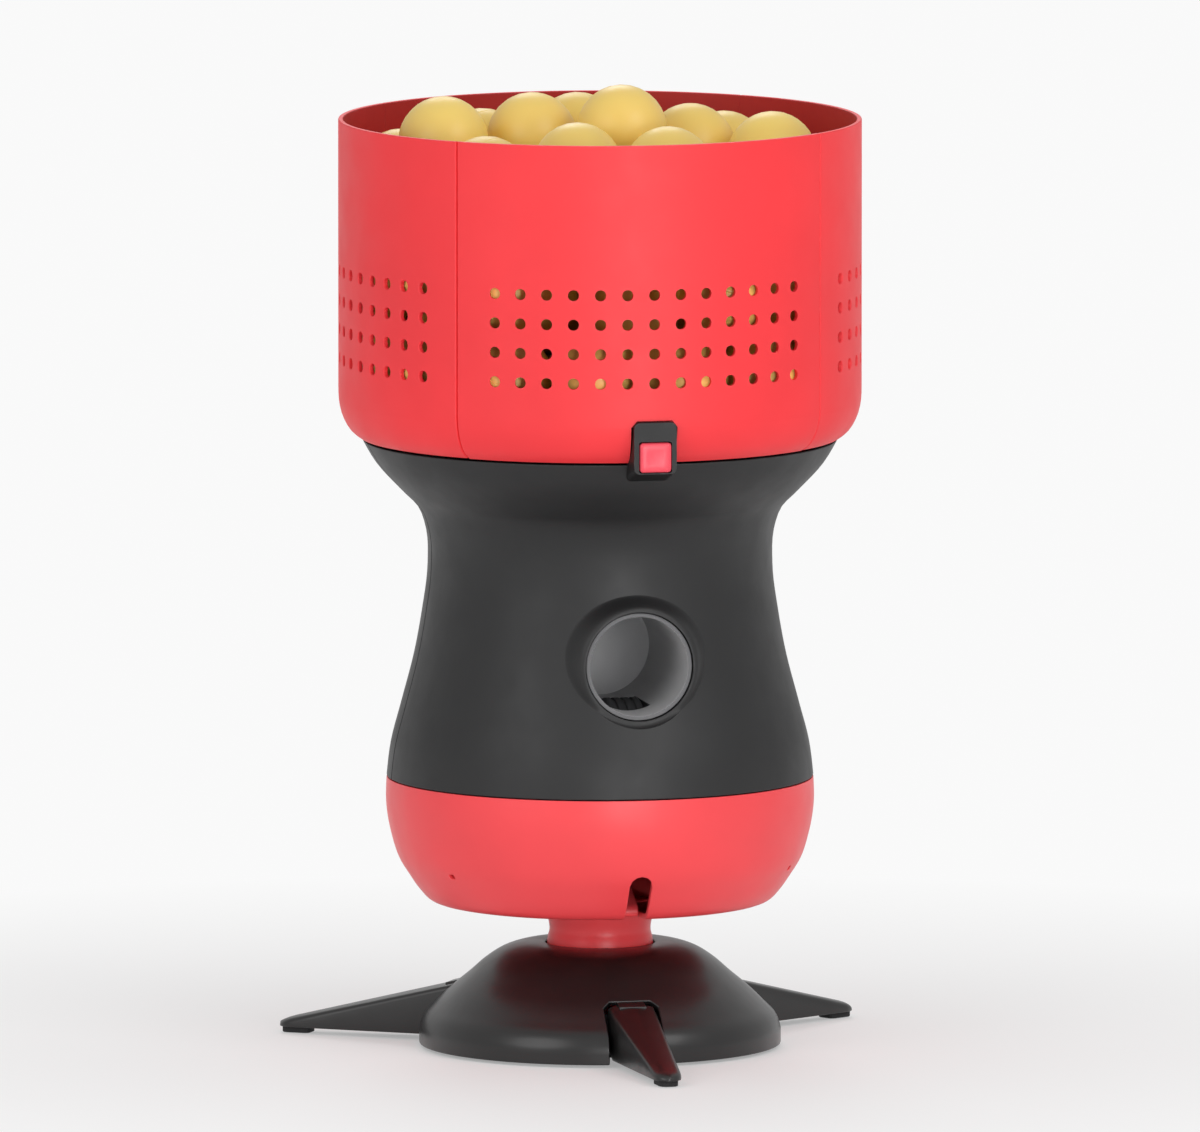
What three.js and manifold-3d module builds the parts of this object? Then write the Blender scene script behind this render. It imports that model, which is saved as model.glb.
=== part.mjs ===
// A table tennis robot: a ball hopper over a launching head, on a swivelling neck and a three-legged base.
// Millimetres, +Z up, the ball exit faces -Y, and the origin is the middle of the base's foot on the table.
import * as THREE from "three";
import { mergeVertices } from "three/addons/utils/BufferGeometryUtils.js";
import Module from "manifold-3d";

const wasm = await Module();
wasm.setup();

// Clearances
const fitGap = 0.3; // between pieces that sit in or on one another
const runGap = 0.8; // around what turns or tilts
const overrun = 2; // how far a cutter passes the surface it cuts
const mergeDistance = 0.0001;

// Facets round a full circle
const shellSides = 32;
const tubeSides = 20;
const bendSides = 24;
const smallSides = 8;

// Ball and its path
const ballRadius = 20;
const ballRoom = 2; // between a ball and the tubes that guide it
const barrelProud = 1.4; // past the shell
const barrelWall = 1.8;
const exitRingWidth = 2.2;
const exitRingDepth = 11;
const exitRingProud = 1.4;
const saddleThickness = 4;
const saddleSetback = 5;
const saddleHalfWidth = 22;
const saddleTopDrop = 8;

// Base
const baseRadius = 80;
const baseHeight = 46;
const baseWall = 2.5;
const skirtGap = 1;
const padRadius = 46;
const padThickness = 2;
const basePlateThickness = 3;
const basePlateInset = 1.2;
const baseScrewRadius = 1.5;
const baseScrewHeadRadius = 3.2;
const baseScrewHeadHeight = 1.8;
const baseScrewLength = 12;
const baseScrewInset = 14; // from the base's rim
const baseBossRadius = 4.5;
// share of the base's radius and share of its height, from the skirt to the crown
const domeOutlineShares = [
  [1, 0.17],
  [0.975, 0.29],
  [0.91, 0.41],
  [0.825, 0.555],
  [0.725, 0.7],
  [0.634, 0.837],
  [0.54, 0.94],
  [0.45, 0.99],
];

// Legs: the first points to the front, the others stand a third of a turn apart
const legLength = 69; // past the base's rim
const legPivotInset = 22; // from the base's rim
const legPivotHeight = 14;
const legKnuckleRadius = 7;
const legKnuckleHalfWidth = 6;
const legPinRadius = 2.5;
const legRootGap = 1; // between the knuckle and the full width of the blade
const legRootHalfWidth = 11;
const legTipHalfWidth = 6;
const legCrownRun = 6; // from the pin to the blade's highest point
const legCrownHeightShare = 0.587; // of the base's height
const legTipHeight = 6;
const legUnderside = 2.5;
const legHeelHeight = 9;
const legHeelRun = 6;
const legEarThickness = 4;
const legEarHeel = 12; // the ear's foot starts this far behind the pin
const legEarToe = 6.5; // and ends this far behind it, clear of the folding leg
const legEarWaist = 5.5; // below the pin
const legSlotRoom = 1.3;
const legPadLength = 14;
const legPadHalfWidth = 5;
const legPadInset = 1;

// Neck and swivel drive
const neckRadius = 23.5;
const neckLength = 18; // between base and bowl
const neckFlareBottom = 32;
const spindleRadius = 7.7;
const bearingHeight = 5;
const bearingWidth = 6;
const gearTeeth = 40;
const pinionTeeth = 10;
const toothSize = 1.2;
const toothBacklashShare = 0.22;
const toothHeightShare = 0.8; // of the module, above the pitch circle
const toothDepthShare = 1.2; // of the module, below it
const toothFootShare = 1.45; // of the tooth's width at the pitch circle
const toothCrestShare = 0.55;
const gearThickness = 6;
const gearHeight = 25;
const gearBoreRadius = 13;
const yawMotorRadius = 10;
const yawMotorTop = 23;
const yawMotorBore = 2;
const pinionShaftDepth = 8;

// Tilt joint between neck and head
const tiltRise = 16; // of the pin above the bowl's underside
const tiltPinRadius = 3;
const tiltBlockGap = 4.5; // between the block and the bowl's ears
const tiltBlockRadius = 9;
const tiltEarRadius = 10;
const tiltEarThickness = 6;
const tiltFinHalfWidth = 4;
const tiltFinReach = 42;
const tiltFinHeight = 10;
const tiltSlotHalfWidth = 5;
const tiltSlotHeight = 21;
const tiltRoom = 7; // between the neck and the bowl's hole

// Lower bowl
const bowlRadius = 94.7;
const bowlHeight = 56;
const bowlWall = 2.6;
const bowlColumnCount = 4;
const bowlColumnInset = 32.7; // from the bowl's widest circle
const bowlColumnRadius = 5;
const bowlScrewHeadRadius = 3;
const bowlScrewHeadHeight = 2.5;
const bowlScrewRadius = 1.5;
const bowlScrewSeat = 10; // below the chassis plate
// share of the bowl's radius and share of its height, from the flat underside up
const bowlOutlineShares = [
  [0.686, 0],
  [0.8, 0.035],
  [0.843, 0.11],
  [0.893, 0.232],
  [0.933, 0.34],
  [0.978, 0.571],
  [0.998, 0.786],
  [0.996, 1],
];

// Head shells
const waistRoom = 4.4; // between the launch motors and the shell
const waistHeightShare = 0.627; // of the shells' height
const flareWidening = 28.8; // from the waist to the shells' top
const shellWall = 2.5;
// share of the way up from foot to waist, and share of the narrowing that is left
const bodyOutlineShares = [
  [0, 1],
  [0.15, 0.906],
  [0.35, 0.64],
  [0.58, 0.33],
  [0.78, 0.14],
  [1, 0],
];
// share of the way up from waist to top, and share of the widening
const flareOutlineShares = [
  [0.3, 0.03],
  [0.46, 0.14],
  [0.6, 0.4],
  [0.84, 0.82],
  [1, 1],
];

// Chassis plate, battery and board
const chassisThickness = 3;
const chassisDrop = 4; // its underside below the bowl's top
const batteryHalfWidth = 36;
const batteryDepth = 38;
const batteryHeight = 20;
const batteryInset = 23.4; // from the chassis plate's edge
const batteryRound = 6;
const boardHalfWidth = 38;
const boardHalfDepth = 30;
const boardThickness = 1.6;
const boardDrop = 10;
const boardPostRadius = 3;
const boardPostInset = 6;

// Launch wheels and their motors
const wheelRadius = 22;
const wheelHalfWidth = 8;
const wheelDistance = 44; // in front of the middle
const wheelBite = 1.7; // how far each tyre presses into a passing ball
const tyreThickness = 5;
const wheelShaftRadius = 2;
const wheelShaftDepth = 12;
const motorPlateThickness = 2.5;
const motorPlateHalfDepth = 15;
const launchMotorRadius = 12.5;
const launchMotorLength = 27;
const motorRoom = 6.2; // between the lower motor and the chassis plate
const motorNoseRadius = 5;

// Feed deck, feed wheel and chute
const deckThickness = 3;
const deckRoom = 18.7; // over the upper wheel
const deckDrop = 8; // its top face below the top of the shells
const deckRimGap = 0.6;
const cupHeight = 12;
const cupWall = 2.5;
const pocketCount = 4;
const pocketMouthDepth = 2; // by which the pockets are open at the rim
const feedWheelThickness = 16;
const feedWheelLift = 2;
const feedHubRadius = 16;
const feedConeHeight = 14;
const feedMotorRadius = 12;
const feedMotorLength = 40;
const feedMotorGap = 6.2; // between the feed motor and the chute
const feedShaftRadius = 2.5;
const feedShaftDepth = 10;
const chuteWall = 1.8;

// Hopper
const hopperHeight = 141;
const hopperOverhang = 1; // of its foot past the shells
const hopperWidening = 9.7; // from its foot to its wall
const hopperWall = 2.2;
const hopperSeam = 1; // between the shells' top and the hopper's lower edge
const hopperFootHeight = 22;
const hopperLipHeight = 5;
const hopperFloorWall = 2.2;
const hopperFloorRise = 14;
const panelCount = 4;
const panelGap = 0.4;
const ventRows = 4;
const ventColumns = 13;
const ventSpacing = 11.95;
const ventRowSpacing = 13;
const ventRise = 14; // of the lowest row above the foot
const ventRadius = 2.8;
const ventSides = 4;
// share of the foot's widening and share of its height, from the lower edge up
const footOutlineShares = [
  [0, 0],
  [0.42, 0.14],
  [0.79, 0.41],
  [0.96, 0.69],
  [1, 1],
];

// Hopper latch
const latchHalfWidth = 9.8;
const latchRise = 20; // above the shells
const latchDrop = 8; // below their top
const latchProud = 1.6;
const latchDepth = 12;
const latchRound = 3;
const latchNotchGap = 0.6;
const latchButtonHalfWidth = 7;
const latchButtonHalfHeight = 6.5;
const latchButtonRise = 4.5;
const latchButtonProud = 1.4;
const latchButtonLength = 5;
const latchTravel = 3;

// Rear control panel
const panelHalfWidth = 22;
const panelHalfHeight = 11;
const panelRise = 10; // of its middle above the battery
const panelProud = 1; // past the shell's inner face at its upper corners
const panelThickness = 3;
const jackOffset = 13; // to one side of the middle
const jackRadius = 3.6;
const jackBodyHalfWidth = 5.5;
const jackBodyLength = 14;
const jackDepth = 10;
const powerOffset = 12; // to the other side
const powerRadius = 5;
const powerProud = 1.5;
const powerLength = 6;
const lensRadius = 1.8;
const lensProud = 0.3;

// Places that follow from the sizes above
const padTop = padThickness;
const basePlateTop = padTop + basePlateThickness;
const baseInnerRadius = baseRadius - baseWall;
const basePlateRadius = baseInnerRadius - basePlateInset;
const baseScrewDistance = baseRadius - baseScrewInset;
const legReach = baseRadius + legLength;
const legPivotDistance = baseRadius - legPivotInset;
const legRootDistance = legPivotDistance + legKnuckleRadius + legRootGap;
const legCrownDistance = legPivotDistance + legCrownRun;
const legCrownHeight = baseHeight * legCrownHeightShare;
const legSlotStart = legCrownDistance - 2 * legSlotRoom;
const gearRadius = (gearTeeth * toothSize) / 2;
const pinionRadius = (pinionTeeth * toothSize) / 2;
const yawMotorDistance = gearRadius + pinionRadius;
const neckHoleRadius = neckRadius + tiltRoom;
const tiltBlockHalfWidth = neckHoleRadius - tiltBlockGap;
const bowlBottom = baseHeight + neckLength;
const bowlTop = bowlBottom + bowlHeight;
const tiltHeight = bowlBottom + tiltRise;
const tiltSlotTop = bowlBottom + tiltSlotHeight;
const bowlMouthRadius = bowlRadius * bowlOutlineShares.at(-1)[0];
const bowlColumnDistance = bowlRadius - bowlColumnInset;
const chassisBottom = bowlTop - chassisDrop;
const chassisTop = chassisBottom + chassisThickness;
const chassisRadius = bowlMouthRadius - bowlWall - fitGap;
const batteryBack = chassisRadius - batteryInset;
const pathRadius = ballRadius + ballRoom;
const barrelRadius = pathRadius + barrelWall;
const chuteRadius = pathRadius + chuteWall;
const wheelOffset = ballRadius + wheelRadius - wheelBite;
const exitHeight = chassisTop + motorRoom + launchMotorRadius + wheelOffset;
const motorPlateStart = wheelHalfWidth + ballRoom + fitGap;
const launchMotorStart = motorPlateStart + motorPlateThickness + fitGap;
const deckBottom = exitHeight + wheelOffset + wheelRadius + deckRoom;
const deckTop = deckBottom + deckThickness;
const shellTop = deckTop + deckDrop;
const pocketDistance = feedMotorRadius + feedMotorGap + chuteRadius;
const feedWheelRadius = pocketDistance + pathRadius - pocketMouthDepth;
const cupTop = deckTop + cupHeight;
const cupRadius = feedWheelRadius + runGap + cupWall;
const waistHeight = bowlTop + (shellTop - bowlTop) * waistHeightShare;
const waistInnerRadius =
  waistRoom + Math.hypot(launchMotorStart + launchMotorLength, wheelDistance + launchMotorRadius);
const waistRadius = waistInnerRadius + shellWall;
const flareRadius = waistRadius + flareWidening;
const hopperBottom = shellTop + hopperSeam;
const hopperTop = hopperBottom + hopperHeight;
const hopperFootRadius = flareRadius + hopperOverhang;
const hopperRadius = hopperFootRadius + hopperWidening;
const hopperInnerRadius = hopperRadius - hopperWall;
const barrelLength = headRadius(exitHeight, 0) + barrelProud;
const latchTop = shellTop + latchRise;
const latchBottom = shellTop - latchDrop;
const latchButtonHeight = shellTop + latchButtonRise;
const latchPocketDepth = latchButtonLength - latchButtonProud + latchTravel + fitGap;
const panelMiddle = chassisTop + batteryHeight + panelRise;
const panelBottom = panelMiddle - panelHalfHeight;
const panelTop = panelMiddle + panelHalfHeight;
const panelCornerRadius = headRadius(panelTop, shellWall);
const panelFace = Math.sqrt(panelCornerRadius ** 2 - panelHalfWidth ** 2) + panelProud;
const jackX = -jackOffset;
const frontAngle = -Math.PI / 2;
const legAngles = {
  front: frontAngle,
  right: frontAngle + (2 * Math.PI) / 3,
  left: frontAngle + (4 * Math.PI) / 3,
};
const columnAngles = Array.from(
  { length: bowlColumnCount },
  (_, i) => ((2 * i + 1) * Math.PI) / bowlColumnCount,
);

// Materials
const finish = (color, roughness, metalness = 0) =>
  new THREE.MeshStandardMaterial({ color, roughness, metalness });
const redPlastic = finish(0xe8464c, 0.32);
const blackPlastic = finish(0x3c3c3e, 0.42);
const glossBlack = finish(0x262627, 0.15);
const greyPlastic = finish(0x9a9a98, 0.45);
const darkPlastic = finish(0x2a2a2c, 0.6);
const rubber = finish(0x1d1d1e, 0.9);
const steel = finish(0xb4b6b8, 0.3, 1);
const motorSteel = finish(0x8e9194, 0.38, 0.9);
const boardGreen = finish(0x1f5a36, 0.6);
const batteryBlue = finish(0x2b4f86, 0.5);
const lensClear = finish(0xd8f0e0, 0.1);

// A three.js geometry as a closed solid that faces out
function solidOf(geometry) {
  const plain = geometry.clone();
  plain.deleteAttribute("normal");
  plain.deleteAttribute("uv");
  const merged = mergeVertices(plain, mergeDistance);
  const index = merged.index.array;
  const faces = [];
  for (let i = 0; i < index.length; i += 3) {
    const [a, b, c] = [index[i], index[i + 1], index[i + 2]];
    if (a !== b && b !== c && a !== c) faces.push([a, b, c]);
  }
  const vertProperties = merged.attributes.position.array;
  const build = (order) =>
    new wasm.Manifold(
      new wasm.Mesh({
        numProp: 3,
        vertProperties,
        triVerts: new Uint32Array(order.flat()),
      }),
    );
  const made = build(faces);
  return made.volume() > 0 ? made : build(faces.map(([a, b, c]) => [a, c, b]));
}

// A closed solid as a named mesh
function meshOf(name, solid, material) {
  const { vertProperties, triVerts } = solid.getMesh();
  const geometry = new THREE.BufferGeometry();
  geometry.setAttribute("position", new THREE.BufferAttribute(vertProperties, 3));
  geometry.setIndex(new THREE.BufferAttribute(triVerts, 1));
  geometry.computeVertexNormals();
  const mesh = new THREE.Mesh(geometry, material);
  mesh.name = name;
  return mesh;
}

// A box between two corners
function block([x0, y0, z0], [x1, y1, z1]) {
  const geometry = new THREE.BoxGeometry(x1 - x0, y1 - y0, z1 - z0);
  return solidOf(geometry.translate((x0 + x1) / 2, (y0 + y1) / 2, (z0 + z1) / 2));
}

// An upright round bar
function upright(radius, bottom, top, sides = tubeSides, x = 0, y = 0) {
  const geometry = new THREE.CylinderGeometry(radius, radius, top - bottom, sides);
  geometry.rotateX(Math.PI / 2);
  return solidOf(geometry.translate(x, y, (bottom + top) / 2));
}

// A round bar along Y from y0 to y1
function alongY(radius, y0, y1, x, z, sides = tubeSides) {
  const geometry = new THREE.CylinderGeometry(radius, radius, y1 - y0, sides);
  return solidOf(geometry.translate(x, (y0 + y1) / 2, z));
}

// A round bar along X from x0 to x1
function alongX(radius, x0, x1, y, z, sides = tubeSides) {
  const geometry = new THREE.CylinderGeometry(radius, radius, x1 - x0, sides);
  geometry.rotateZ(Math.PI / 2);
  return solidOf(geometry.translate((x0 + x1) / 2, y, z));
}

// A closed outline of [radius, height] points turned about Z
function turned(outline, sides = shellSides) {
  const points = outline.map(([radius, height]) => new THREE.Vector2(radius, height));
  const geometry = new THREE.LatheGeometry([...points, points[0]], sides);
  return solidOf(geometry.rotateX(Math.PI / 2));
}

// A flat outline of [x, y] points raised from one height to another
function raised(outline, bottom, top) {
  const shape = new THREE.Shape(outline.map(([x, y]) => new THREE.Vector2(x, y)));
  const geometry = new THREE.ExtrudeGeometry(shape, {
    depth: top - bottom,
    bevelEnabled: false,
  });
  return solidOf(geometry.translate(0, 0, bottom));
}

// An outline of [x, z] points that runs from one y to another
function sidewise(outline, y0, y1) {
  const shape = new THREE.Shape(outline.map(([x, z]) => new THREE.Vector2(x, z)));
  const geometry = new THREE.ExtrudeGeometry(shape, {
    depth: y1 - y0,
    bevelEnabled: false,
  });
  geometry.rotateX(Math.PI / 2);
  return solidOf(geometry.translate(0, y1, 0));
}

const turnedBy = (solid, angle) => solid.rotate([0, 0, THREE.MathUtils.radToDeg(angle)]);
const join = (solids) => solids.reduce((whole, next) => whole.add(next));
const polar = (radius, angle) => [radius * Math.cos(angle), radius * Math.sin(angle)];
const odd = (point, i) => i % 2 === 1;

// Outer outline of the base cover, drawn in by a wall
function domeOutline(wall) {
  const radius = baseRadius - wall;
  const height = baseHeight - wall;
  return domeOutlineShares.map(([across, up]) => [radius * across, height * up]);
}

function basePad() {
  return upright(padRadius, 0, padTop, shellSides);
}

// Everything that a leg sweeps as it folds, seen along the leg
function legSlot(bottom, top) {
  const halfWidth = legRootHalfWidth + legSlotRoom;
  const inner = legPivotDistance - legKnuckleRadius - legSlotRoom;
  return block([inner, -halfWidth, bottom], [baseRadius + overrun, halfWidth, top]);
}

function legEars() {
  const foot = basePlateTop - basePlateThickness / 2;
  const outline = [
    [legPivotDistance - legEarHeel, foot],
    [legPivotDistance - legEarToe, foot],
    [legPivotDistance - legPinRadius, legPivotHeight - legEarWaist],
    [legPivotDistance, legPivotHeight],
    [legPivotDistance - legKnuckleRadius, legPivotHeight],
  ];
  const start = legKnuckleHalfWidth + fitGap;
  const end = start + legEarThickness;
  const ear = (y0, y1) =>
    sidewise(outline, y0, y1).add(
      alongY(legKnuckleRadius, y0, y1, legPivotDistance, legPivotHeight, smallSides),
    );
  const bore = alongY(
    legPinRadius + fitGap,
    -end - overrun,
    end + overrun,
    legPivotDistance,
    legPivotHeight,
    smallSides,
  );
  return ear(start, end).add(ear(-end, -start)).subtract(bore);
}

function basePlate() {
  let plate = upright(basePlateRadius, padTop, basePlateTop, shellSides);
  for (const angle of Object.values(legAngles)) {
    plate = plate.subtract(turnedBy(legSlot(0, basePlateTop + overrun), angle));
    plate = plate.add(turnedBy(legEarRails(), angle)).add(turnedBy(legEars(), angle));
    const [x, y] = polar(baseScrewDistance, angle + Math.PI);
    const shank = baseScrewRadius + fitGap;
    const head = baseScrewHeadRadius + fitGap;
    plate = plate.subtract(upright(shank, 0, basePlateTop + overrun, smallSides, x, y));
    plate = plate.subtract(upright(head, 0, padTop + baseScrewHeadHeight, smallSides, x, y));
  }
  return plate;
}

// The strips of plate that carry the ears inside the leg's slot
function legEarRails() {
  const start = legKnuckleHalfWidth + fitGap;
  const end = legRootHalfWidth + legSlotRoom + overrun;
  const inner = legPivotDistance - legEarHeel;
  const outer = legPivotDistance - legEarToe;
  const rail = (y0, y1) => block([inner, y0, padTop], [outer, y1, basePlateTop]);
  return rail(start, end).add(rail(-end, -start));
}

function baseCover() {
  const outer = domeOutline(0);
  const inner = domeOutline(baseWall).filter(odd).reverse();
  const hole = neckRadius + runGap;
  let cover = turned([
    [baseRadius, skirtGap],
    ...outer,
    [hole, baseHeight],
    [hole, baseHeight - baseWall],
    ...inner,
    [baseInnerRadius, skirtGap],
  ]);
  const halfWidth = legRootHalfWidth + legSlotRoom;
  const slotTop = legCrownHeight + legSlotRoom;
  const slot = block(
    [legSlotStart, -halfWidth, -overrun],
    [baseRadius + overrun, halfWidth, slotTop],
  );
  const body = turned([
    [0, basePlateTop],
    ...domeOutline(baseWall / 2),
    [0, baseHeight - baseWall / 2],
  ]);
  for (const angle of Object.values(legAngles)) {
    const [x, y] = polar(baseScrewDistance, angle + Math.PI);
    const boss = upright(baseBossRadius, basePlateTop + fitGap, baseHeight, smallSides, x, y);
    const bore = upright(
      baseScrewRadius + fitGap,
      0,
      padTop + baseScrewLength + fitGap,
      smallSides,
      x,
      y,
    );
    cover = cover.subtract(turnedBy(slot, angle));
    cover = cover.add(boss.intersect(body)).subtract(bore);
  }
  return cover;
}

function baseScrew(angle) {
  const [x, y] = polar(baseScrewDistance, angle + Math.PI);
  const top = padTop + baseScrewHeadHeight - fitGap;
  const head = upright(baseScrewHeadRadius, padTop, top, smallSides, x, y);
  return head.add(upright(baseScrewRadius, padTop, padTop + baseScrewLength, smallSides, x, y));
}

// A leg that lies along +X, with its knuckle on the pin
function leg() {
  const side = [
    [legPivotDistance, legPivotHeight - legKnuckleRadius],
    [legRootDistance, legHeelHeight],
    [legRootDistance + legHeelRun, legUnderside],
    [legReach, legUnderside],
    [legReach, legTipHeight],
    [legCrownDistance, legCrownHeight],
    [legPivotDistance, legPivotHeight + legKnuckleRadius],
  ];
  const plan = [
    [legPivotDistance, -legKnuckleHalfWidth],
    [legRootDistance, -legKnuckleHalfWidth],
    [legRootDistance, -legRootHalfWidth],
    [legReach, -legTipHalfWidth],
    [legReach, legTipHalfWidth],
    [legRootDistance, legRootHalfWidth],
    [legRootDistance, legKnuckleHalfWidth],
    [legPivotDistance, legKnuckleHalfWidth],
  ];
  const blade = sidewise(side, -legRootHalfWidth - overrun, legRootHalfWidth + overrun);
  const knuckle = alongY(
    legKnuckleRadius,
    -legKnuckleHalfWidth,
    legKnuckleHalfWidth,
    legPivotDistance,
    legPivotHeight,
    smallSides,
  );
  const bore = alongY(
    legPinRadius + fitGap,
    -legRootHalfWidth,
    legRootHalfWidth,
    legPivotDistance,
    legPivotHeight,
    smallSides,
  );
  return blade.intersect(raised(plan, 0, baseHeight)).add(knuckle).subtract(bore);
}

function legPad() {
  const outer = legReach - legPadInset;
  return block(
    [outer - legPadLength, -legPadHalfWidth, 0],
    [outer, legPadHalfWidth, legUnderside - fitGap],
  );
}

function legPin() {
  const end = legKnuckleHalfWidth + fitGap + legEarThickness;
  return alongY(legPinRadius, -end, end, legPivotDistance, legPivotHeight, smallSides);
}

// A spur gear's outline with straight-sided teeth
function gearOutline(teeth) {
  const pitch = (teeth * toothSize) / 2;
  const root = pitch - toothDepthShare * toothSize;
  const tip = pitch + toothHeightShare * toothSize;
  const step = (2 * Math.PI) / teeth;
  const halfTooth = (step / 4) * (1 - toothBacklashShare);
  const halfFoot = halfTooth * toothFootShare;
  const halfCrest = halfTooth * toothCrestShare;
  const outline = [];
  for (let i = 0; i < teeth; i += 1) {
    const middle = i * step;
    outline.push(polar(root, middle - halfFoot));
    outline.push(polar(tip, middle - halfCrest));
    outline.push(polar(tip, middle + halfCrest));
    outline.push(polar(root, middle + halfFoot));
  }
  return outline;
}

// The gear on the neck, with a tooth towards the pinion
function yawGear() {
  const top = gearHeight + gearThickness;
  const bore = upright(gearBoreRadius + fitGap, gearHeight - overrun, top + overrun);
  const wheel = raised(gearOutline(gearTeeth), gearHeight, top);
  return turnedBy(wheel, -frontAngle).subtract(bore);
}

// The pinion on its shaft, with a gap between teeth facing the gear
function yawPinion() {
  const wheel = raised(gearOutline(pinionTeeth), gearHeight, gearHeight + gearThickness);
  const meshTurn = frontAngle + Math.PI / pinionTeeth;
  const shaft = upright(
    yawMotorBore - fitGap,
    yawMotorTop - pinionShaftDepth,
    gearHeight + overrun,
    smallSides,
  );
  return turnedBy(wheel, meshTurn).add(shaft).translate([0, yawMotorDistance, 0]);
}

function yawMotor() {
  const can = upright(
    yawMotorRadius,
    basePlateTop,
    yawMotorTop,
    tubeSides,
    0,
    yawMotorDistance,
  );
  const bore = upright(
    yawMotorBore,
    yawMotorTop - pinionShaftDepth - fitGap,
    yawMotorTop + overrun,
    smallSides,
    0,
    yawMotorDistance,
  );
  return can.subtract(bore);
}

function yawBearing() {
  const inner = spindleRadius + fitGap;
  return turned(
    [
      [inner, basePlateTop],
      [inner + bearingWidth, basePlateTop],
      [inner + bearingWidth, basePlateTop + bearingHeight],
      [inner, basePlateTop + bearingHeight],
    ],
    tubeSides,
  );
}

function turntableNeck() {
  const shoulder = gearHeight + gearThickness + fitGap;
  const blockBottom = bowlBottom + bowlWall;
  const column = turned(
    [
      [0, basePlateTop + fitGap],
      [spindleRadius, basePlateTop + fitGap],
      [spindleRadius, basePlateTop + bearingHeight + fitGap],
      [gearBoreRadius, basePlateTop + bearingHeight + fitGap],
      [gearBoreRadius, shoulder],
      [neckRadius, neckFlareBottom + fitGap],
      [neckRadius, blockBottom],
      [0, blockBottom],
    ],
    shellSides,
  );
  const cheek = block(
    [-tiltBlockHalfWidth, -tiltBlockRadius, blockBottom - overrun],
    [tiltBlockHalfWidth, tiltBlockRadius, tiltHeight],
  );
  const crown = alongX(tiltBlockRadius, -tiltBlockHalfWidth, tiltBlockHalfWidth, 0, tiltHeight);
  const finTop = tiltHeight - overrun;
  const fin = block(
    [-tiltFinHalfWidth, -tiltFinReach, finTop - tiltFinHeight],
    [tiltFinHalfWidth, 0, finTop],
  );
  const end = tiltBlockHalfWidth + overrun;
  const bore = alongX(tiltPinRadius + fitGap, -end, end, 0, tiltHeight, smallSides);
  return join([column, cheek, crown, fin]).subtract(bore);
}

function tiltPin() {
  const end = neckHoleRadius + tiltEarThickness + overrun;
  return alongX(tiltPinRadius, -end, end, 0, tiltHeight, smallSides);
}

// Outline of the bowl, drawn in by a wall
function bowlOutline(wall) {
  const radius = bowlRadius - wall;
  const height = bowlHeight - wall;
  return bowlOutlineShares.map(([across, up]) => [
    radius * across,
    bowlBottom + wall + height * up,
  ]);
}

function lowerBowl() {
  const outer = bowlOutline(0);
  const inner = bowlOutline(bowlWall).filter(odd).reverse();
  const floorTop = bowlBottom + bowlWall;
  let bowl = turned([[neckHoleRadius, bowlBottom], ...outer, ...inner, [neckHoleRadius, floorTop]]);
  const earStart = neckHoleRadius;
  const earEnd = earStart + tiltEarThickness;
  const ear = (x0, x1) =>
    block([x0, -tiltEarRadius, floorTop - bowlWall / 2], [x1, tiltEarRadius, tiltHeight]).add(
      alongX(tiltEarRadius, x0, x1, 0, tiltHeight, smallSides),
    );
  bowl = bowl.add(ear(earStart, earEnd)).add(ear(-earEnd, -earStart));
  const pinEnd = earEnd + overrun;
  bowl = bowl.subtract(
    alongX(tiltPinRadius + fitGap, -pinEnd, pinEnd, 0, tiltHeight, smallSides),
  );
  for (const angle of columnAngles) {
    const [x, y] = polar(bowlColumnDistance, angle);
    const seat = chassisBottom - bowlScrewSeat;
    bowl = bowl.add(
      upright(bowlColumnRadius, floorTop - bowlWall / 2, chassisBottom - fitGap, smallSides, x, y),
    );
    bowl = bowl.subtract(
      upright(bowlScrewHeadRadius + fitGap, bowlBottom - overrun, seat, smallSides, x, y),
    );
    bowl = bowl.subtract(
      upright(bowlScrewRadius + fitGap, seat - overrun, chassisBottom + overrun, smallSides, x, y),
    );
  }
  const slot = block(
    [-tiltSlotHalfWidth, -bowlRadius - overrun, bowlBottom - overrun],
    [tiltSlotHalfWidth, -neckHoleRadius + overrun, tiltSlotTop],
  );
  return bowl.subtract(slot);
}

function bowlScrew(angle) {
  const [x, y] = polar(bowlColumnDistance, angle);
  const seat = chassisBottom - bowlScrewSeat - fitGap;
  const head = upright(bowlScrewHeadRadius, seat - bowlScrewHeadHeight, seat, smallSides, x, y);
  return head.add(upright(bowlScrewRadius, seat - overrun / 2, chassisTop, smallSides, x, y));
}

// Outline of the head from its foot to its top, drawn in by a wall
function headOutline(wall) {
  const footRadius = bowlMouthRadius;
  const lower = bodyOutlineShares.map(([up, out]) => [
    waistRadius + (footRadius - waistRadius) * out - wall,
    bowlTop + fitGap + (waistHeight - bowlTop - fitGap) * up,
  ]);
  const upper = flareOutlineShares.map(([up, out]) => [
    waistRadius + (flareRadius - waistRadius) * out - wall,
    waistHeight + (shellTop - waistHeight) * up,
  ]);
  return [...lower, ...upper];
}

// Radius of the head at a height, drawn in by a wall
function headRadius(height, wall) {
  const outline = headOutline(wall);
  const above = outline.findIndex(([, level]) => level >= height);
  const [r0, z0] = outline[above - 1];
  const [r1, z1] = outline[above];
  return r0 + ((r1 - r0) * (height - z0)) / (z1 - z0);
}

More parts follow.
